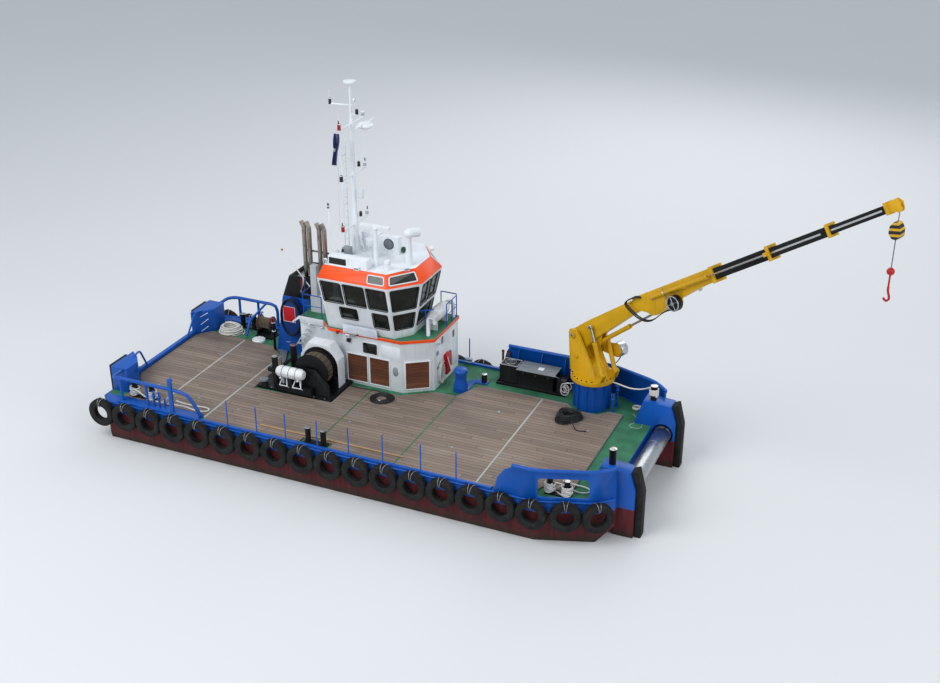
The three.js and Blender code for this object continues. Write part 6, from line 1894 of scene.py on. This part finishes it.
class WORKBOAT_OT_mast_gear(bpy.types.Operator):
    """Lanterns, whips, ladder rungs, halyard and flags of the mast and the funnel."""

    bl_idname = "workboat.mast_gear"
    bl_label = "Mast gear"
    bl_options = {"REGISTER", "UNDO"}

    def execute(self, context):
        x, y = MAST
        parts = []
        # height, half length of the arm, lens and case of the starboard lantern
        for z, half, glass, case in (
            (9.9, 1.1, "red_lens", "red"), (
                12.0, 1.05, "black_plastic", "black_plastic",
            ), (14.1, 1.05, "red_lens", "red")
        ):
            parts += lantern((x, y - half + 0.06, z + 0.01), glass, 0.074, 0.262, case)
            parts += lantern((x, y + half - 0.06, z + 0.01), "clear_lens", 0.074, 0.262, "white_plastic")
        parts += lantern((-3.66, 2.275, 14.83), "black_plastic", 0.06, 0.26)
        for z in (10.39, 12.51, 14.64):
            parts += lantern((x + 0.27, y, z - 0.12), "black_plastic", 0.065, 0.2)
            parts += bar("white", (x, y, z - 0.14), (x + 0.34, y, z - 0.14), 0.025)
        parts += drum_lamp((x + 0.2, y, 15.06), (x + 2, y, 14.4), 0.07, 0.09)
        parts += coated("white_plastic", ball("radome", (-2.32, 2.63, 14.02), 0.33, (1, 1, 0.42), 32))
        assembly("mast_lanterns", "white_paint", *parts)
        parts = []
        rung = rod("rung", (-3.215, y - 0.17, 0), (-3.215, y + 0.17, 0), 0.02, 8)
        levels = [8.87 + 0.3 * k for k in range(15)]
        parts += coated("white", *(moved(rung, Matrix.Translation((0, 0, z)), "rung") for z in levels))
        bpy.data.objects.remove(rung)
        parts += whip((-3.68, 2.27, 14.92), 0.5)
        parts += whip((x, y - 1.03, 14.36), 0.42)
        parts += whip((x, y + 1.03, 12.26), 1.15)
        parts += whip((x, y + 1.08, 10.16), 1.2)
        parts += whip((x, y - 1.08, 10.16), 0.5)
        for a, b in (
            ((x + 0.42, y, 8.72), (x + 0.1, y, 9.6)), ((x, y - 0.42, 8.72), (x, y - 0.1, 9.6)),
            ((x, y + 0.42, 8.72), (x, y + 0.1, 9.6)),
        ):
            parts += bar("white", a, b, 0.03)
        parts += bar("white", (-3.3, 1.2, 8.5), (-3.36, 1.2, 10.9), 0.022, 10, 0.015)
        parts += lantern((-3.36, 1.2, 10.88), "clear_lens", 0.05, 0.2)
        assembly("mast_rigging", "white_paint", *parts)
        halyard = line("halyard", [(-2.93, 1.42, 14.08), (-2.95, 1.43, 12.3), (-2.93, 1.3, 9.95)], 0.008, 6)
        assembly("flag_halyard", "white_paint", *coated("white_rope", halyard))
        self.flag("signal_flag", (-2.95, 1.43, 13.93), 0.3, 1.3, 4, ("blue_cloth", "white_cloth"))
        staff = bar("white", (-4.86, 1.93, 6.89), (-6.08, 1.9, 8.36), 0.024, 12)
        staff += coated("bronze", ball("truck", (-6.09, 1.9, 8.39), 0.05, (1, 1, 1), 16))
        assembly("ensign_staff", "white_paint", *staff)
        self.flag("ensign", (-5.14, 1.9, 7.24), 0.3, 0.66, 4, ("red_cloth", "white_cloth", "blue_cloth"))
        return {"FINISHED"}

    def flag(self, name, top, wide, drop, folds, coats):
        """A limp flag that hangs in pleats, fullest in the middle, with its colours in stripes."""
        rest()
        columns, rows = folds * 8, 20
        bpy.ops.mesh.primitive_grid_add(x_subdivisions=columns, y_subdivisions=rows, size=1)
        o = settle(name)
        for v in o.data.vertices:
            u, t = v.co.x, 0.5 - v.co.y
            full = 0.25 + 0.75 * math.sin(math.pi * (0.08 + 0.78 * t))
            pleat = math.sin(2 * math.pi * folds * (u + 0.5)) * 0.09 * full
            droop = 0.05 * math.sin(5 * t + 3 * u)
            v.co = (top[0] + u * wide * full - 0.12 * t * drop + droop, top[1] + pleat, top[2] - t * drop)
        dress(o, *coats)
        for i, f in enumerate(o.data.polygons):
            if len(coats) == 2:
                f.material_index = int(i // columns in (9, 10) and i % columns < columns // 2)
            else:
                f.material_index = (i % columns) * len(coats) // columns
        hold(o)
        bpy.ops.object.shade_smooth()
        modify(o, "SOLIDIFY", thickness=0.003, offset=0)
        fit(o, "boat")
        return o


class WORKBOAT_OT_funnel_fittings(bpy.types.Operator):
    """The oval locker's frame and red panel, and the hose stand beside it."""

    bl_idname = "workboat.funnel_fittings"
    bl_label = "Funnel fittings"
    bl_options = {"REGISTER", "UNDO"}

    def execute(self, context):
        centre = Vector((-5.85, 1.85, 5.29))
        oval = [
            tuple(centre + Vector((0.47 * math.cos(t), -0.006, 0.84 * math.sin(t))))
            for t in (k * math.pi / 24 for k in range(48))
        ]
        parts = coated("black", line("oval_rim", oval, 0.05, 10, closed=True))
        panel = slab(
            "panel", [(-6.2, 1.842, 5.1), (-5.62, 1.842, 5.1), (-5.62, 1.842, 5.8), (-6.2, 1.842, 5.8)],
            0.012,
        )
        parts += coated("red", soften(panel, 0.01))
        parts += coated(
            "white",
            line(
                "panel_edge",
                [(-6.2, 1.838, 5.1), (-5.62, 1.838, 5.1), (-5.62, 1.838, 5.8), (-6.2, 1.838, 5.8)], 0.012,
                6, closed=True,
            ),
        )
        parts += coated(
            "bright",
            line(
                "handle", [(-6.1, 1.86, 4.14), (-6.1, 1.78, 4.14), (-5.9, 1.78, 4.14), (-5.9, 1.86, 4.14)],
                0.014, 6,
            ),
        )
        for z in (4.75, 5.85):
            parts += bar("black", (-5.4, 1.83, z), (-5.4, 1.83, z + 0.12), 0.03)
        assembly("oval_locker_trim", "hull_paint", *parts)
        x, y = -6.98, 2.2
        stand = bar("black", (x, y, STEEL_DECK), (x, y, 4.9), 0.06, 16)
        stand += bar("black", (x, y, 4.55), (x + 0.1, y, 4.55), 0.04)
        stand += coated(
            "white", hoop("clip", (x, y, 4.7), (x, y, 5), 0.07, 0.02, 20, 6),
            hoop("clip", (x, y, 4.3), (x, y, 5), 0.07, 0.02, 20, 6),
        )
        stand += coated("red", hoop("wheel", (x, y - 0.1, 4.85), (x, y - 1, 4.85), 0.1, 0.014, 24, 6))
        stand += bar("red", (x, y, 4.85), (x, y - 0.11, 4.85), 0.02)
        assembly("hose_stand", "black_paint", *stand)
        return {"FINISHED"}


class WORKBOAT_OT_winch_fittings(bpy.types.Operator):
    """Raft cradle and straps, bolts of the winch bed, the fan and bar of the power pack."""

    bl_idname = "workboat.winch_fittings"
    bl_label = "Winch and pack fittings"
    bl_options = {"REGISTER", "UNDO"}

    def execute(self, context):
        parts = []
        axis = (-1.02, 4.33)
        for x in (-4.55, -4.235, -3.92):
            parts += coated("black_plastic", hoop("strap", (x, *axis), (x + 1, *axis), 0.247, 0.008, 36, 6))
        seam = line(
            "seam",
            [
                (-4.235 + 0.6 * math.cos(t), axis[0] - 0.243, axis[1] + 0.03 * math.sin(t))
                for t in (0, math.pi)
            ],
            0.008, 6,
        )
        parts += coated("grey_plastic", seam)
        for x0, x1 in ((-4.71, -4.35), (-4.1, -3.7)):
            parts += bar("white", (x0, -1.18, 3.74), (x0 + 0.1, -1.02, 4.1), 0.022, 10)
            parts += bar("white", (x1, -1.18, 3.74), (x1 - 0.1, -1.02, 4.1), 0.022, 10)
            parts += bar("white", (x0, -1.18, 3.76), (x1, -1.18, 3.76), 0.02, 10)
            parts += bar("white", (x0, -1.18, 3.76), (x0, -0.9, 3.5), 0.02, 10)
            parts += bar("white", (x1, -1.18, 3.76), (x1, -0.9, 3.5), 0.02, 10)
        assembly("raft_cradle", "white_paint", *parts)
        parts = []
        head = soften(rod("head", (-2.5, -0.9, 3.42), (-2.5, -0.9, 3.46), 0.03, 6), 0.004, 1)
        for x in (-5.7, -5.2, -4.7, -4.2, -3.7, -3.2, -2.7):
            parts.append(moved(head, Matrix.Translation((x + 2.5, -0.12, 0)), "head"))
        bpy.data.objects.remove(head)
        assembly("winch_bed_bolts", "bright_steel", *coated("galvanised", *parts))
        x, y, z = 3.58, 3.79, 4.163
        parts = coated("black", soften(rod("fan_back", (x, y, z), (x, y, z + 0.012), 0.22, 32), 0.003))
        parts += coated("galvanised", hoop("fan_rim", (x, y, z + 0.02), (x, y, z + 1), 0.23, 0.016, 36, 6))
        for r in (0.08, 0.155):
            parts += coated("galvanised", hoop("guard", (x, y, z + 0.022), (x, y, z + 1), r, 0.005, 28, 6))
        parts += coated(
            "galvanised",
            *copies_round(
                rod("spoke", (x - 0.23, y, z + 0.026), (x + 0.23, y, z + 0.026), 0.005, 6), (x, y, z), 6,
            ),
        )
        rim = [(3.23, 3.48), (3.97, 3.48), (3.97, 4.1), (3.23, 4.1)]
        parts += coated("light_grey", line("rim", [(a, b, 4.165) for a, b in rim], 0.018, 6, closed=True))
        parts += bar("bright", (5.66, 3.24, 4.19), (5.9, 3.5, 3.98), 0.03)
        for a in (4.3, 4.85, 5.4):
            parts += coated(
                "black_plastic", soften(block("latch", (a, 3.19, 3.98), (a + 0.09, 3.215, 4.1)), 0.006),
            )
        for a in (4.25, 5.3):
            parts += coated(
                "bright",
                line(
                    "lift",
                    [(a, 3.6, 4.175), (a, 3.6, 4.22), (a + 0.14, 3.6, 4.22), (a + 0.14, 3.6, 4.175)], 0.01,
                    6,
                ),
            )
        parts += coated("white", soften(block("bare_plate", (4.86, 3.55, 4.178), (5.1, 3.8, 4.186)), 0.002))
        assembly("power_pack_trim", "black_paint", *parts)
        parts = bar("blue", (0.52, 1.95, TIER), (0.52, 1.95, 6.77), 0.028)
        parts += bar("blue", (0.24, 1.75, 6.77), (0.8, 2.15, 6.77), 0.028)
        assembly("tier_post", "hull_paint", *parts)
        return {"FINISHED"}


class WORKBOAT_OT_crane_fittings(bpy.types.Operator):
    """Bolts, hydraulic pipes, rams' clamps, hose reel flange and lamp of the crane."""

    bl_idname = "workboat.crane_fittings"
    bl_label = "Crane fittings"
    bl_options = {"REGISTER", "UNDO"}

    def execute(self, context):
        x, y = CRANE
        assembly("pedestal_bolts", "bright_steel", *bolts((x, y, 4.522), 0.74, 24, 0.026, "galvanised"))
        ring = bolts((x, y, 4.8), 0.83, 24, 0.03, "black")
        ring = [b for b in ring if self.clear_of_cheeks(b)]
        ring += bar("yellow", in_boom(-0.55, 5.52, -0.43), in_boom(-0.55, 5.52, -0.47), 0.11, 24)
        ring += bar("yellow", in_boom(-0.78, 6.38, -0.43), in_boom(-0.78, 6.38, -0.5), 0.13, 24)
        ring += bar("bright", in_boom(-0.78, 6.38, -0.5), in_boom(-0.78, 6.38, -0.52), 0.07, 20)
        ring += bar("bright", in_boom(0.76, 5.95, 0.85), in_boom(0.76, 5.95, 0.89), 0.2, 28)
        ring += bar("black_plastic", in_boom(0.76, 5.95, 0.89), in_boom(0.76, 5.95, 0.95), 0.1, 20)
        assembly("column_bosses", "crane_yellow", *ring, body="column")
        reel = on_jib(2.05, -0.44, -0.632)
        parts = coated("bright", hoop("reel_flange", reel, on_jib(2.05, -0.44, -1), 0.27, 0.022, 36, 8))
        parts += coated(
            "galvanised",
            soften(
                rod("reel_hub", on_jib(2.05, -0.44, -0.61), on_jib(2.05, -0.44, -0.68), 0.08, 20), 0.006,
            ),
        )
        spoke = rod(
            "spoke", on_jib(2.05 - 0.26, -0.44, -0.632), on_jib(2.05 + 0.26, -0.44, -0.632), 0.014, 6,
        )
        other = rod("spoke", on_jib(2.05, -0.7, -0.632), on_jib(2.05, -0.18, -0.632), 0.014, 6)
        parts += coated("bright", spoke, other)
        for u in (2.62, 2.7, 3.78, 3.86):
            parts += coated(
                "yellow",
                hoop("clamp", on_jib(u, 0.04, -0.4), on_jib(u + 1, 0.04, -0.4), 0.072, 0.024, 24, 8),
            )
        parts += coated(
            "bright", hoop("gland", on_jib(1.6, 0.04, -0.4), on_jib(2, 0.04, -0.4), 0.078, 0.014, 24, 6),
        )
        parts += drum_lamp(on_jib(2.9, -0.34, 0.1), on_jib(3.4, -2.5, 0.1), 0.08, 0.12)
        for across in (-0.12, -0.06, 0.06):
            pipe = [on_jib(0.9, 0.262, across), on_jib(3.0, 0.262, across)]
            parts += coated("black_plastic", line("pipe", pipe, 0.012, 6))
        assembly("jib_fittings", "crane_yellow", *parts, body="outer_arm")
        # Thin bright strips along the sides of telescopes 2 and 3: a painted highlight standing for the light
        # caught on the sections' lower edges.
        for i, (u0, u1, half) in enumerate(((5.95, 8.95, 0.172), (8.6, 11.4, 0.142)), 2):
            strip = rod(
                "strip", on_jib(u0, 0.025, -half - 0.002), on_jib(u1, 0.025, -half - 0.002), 0.03, 8,
            )
            strip = self.flattened(strip, half)
            assembly(f"wear_strip_{i}", "bright_steel", *coated("bright", strip), body=f"telescope_{i}")
        return {"FINISHED"}

    def clear_of_cheeks(self, bolt):
        """False, and the bolt removed, where the column's cheeks stand on the ring."""
        middle = sum((v.co for v in bolt.data.vertices), Vector()) / len(bolt.data.vertices)
        d = Vector((math.cos(BOOM_AZ), math.sin(BOOM_AZ)))
        across = (middle.xy - Vector(CRANE)).dot(Vector((-d.y, d.x)))
        if abs(abs(across) - 0.385) < 0.09:
            bpy.data.objects.remove(bolt)
            return False
        return True

    def flattened(self, strip, half):
        """Presses a round bar to a strip 3 mm proud of the section's side."""
        c, s = math.cos(BOOM_AZ), math.sin(BOOM_AZ)
        sideways = Vector((-s, c, 0))
        for v in strip.data.vertices:
            across = jib_place(v.co)[2]
            v.co += sideways * ((across + half + 0.002) * (0.05 - 1))
        return strip


PIECES = [
    WORKBOAT_OT_stage,
    WORKBOAT_OT_ropes,
    WORKBOAT_OT_hull,
    WORKBOAT_OT_deck,
    WORKBOAT_OT_tyres,
    WORKBOAT_OT_rails,
    WORKBOAT_OT_bow_roller,
    WORKBOAT_OT_deckhouse,
    WORKBOAT_OT_wheelhouse,
    WORKBOAT_OT_roof,
    WORKBOAT_OT_mast,
    WORKBOAT_OT_funnel,
    WORKBOAT_OT_upper_deck,
    WORKBOAT_OT_winches,
    WORKBOAT_OT_crane,
    WORKBOAT_OT_deck_fittings,
    WORKBOAT_OT_house_fittings,
    WORKBOAT_OT_roof_gear,
    WORKBOAT_OT_mast_gear,
    WORKBOAT_OT_funnel_fittings,
    WORKBOAT_OT_winch_fittings,
    WORKBOAT_OT_crane_fittings,
]


class WORKBOAT_PT_panel(bpy.types.Panel):
    """Lists the workboat's pieces and its driving values."""

    bl_label = "Workboat"
    bl_space_type = "VIEW_3D"
    bl_region_type = "UI"
    bl_category = "Workboat"

    def draw(self, context):
        for piece in PIECES:
            self.layout.operator(piece.bl_idname)
        for group in (
            context.scene.workboat_stage, context.scene.workboat_paint, context.scene.workboat_sizes,
        ):
            for key in type(group).__annotations__:
                self.layout.prop(group, key)


GROUPS = {
    "workboat_stage": WorkboatStage,
    "workboat_paint": WorkboatPaint,
    "workboat_sizes": WorkboatSizes,
}


def register():
    for group in GROUPS.values():
        bpy.utils.register_class(group)
    for key, group in GROUPS.items():
        setattr(bpy.types.Scene, key, bpy.props.PointerProperty(type=group))
    for piece in PIECES:
        bpy.utils.register_class(piece)
    bpy.utils.register_class(WORKBOAT_PT_panel)


def unregister():
    bpy.utils.unregister_class(WORKBOAT_PT_panel)
    for piece in reversed(PIECES):
        bpy.utils.unregister_class(piece)
    for key, group in GROUPS.items():
        delattr(bpy.types.Scene, key)
        bpy.utils.unregister_class(group)


def main():
    register()
    for piece in PIECES:
        group, name = piece.bl_idname.split(".")
        getattr(getattr(bpy.ops, group), name)()


if __name__ == "__main__":
    main()
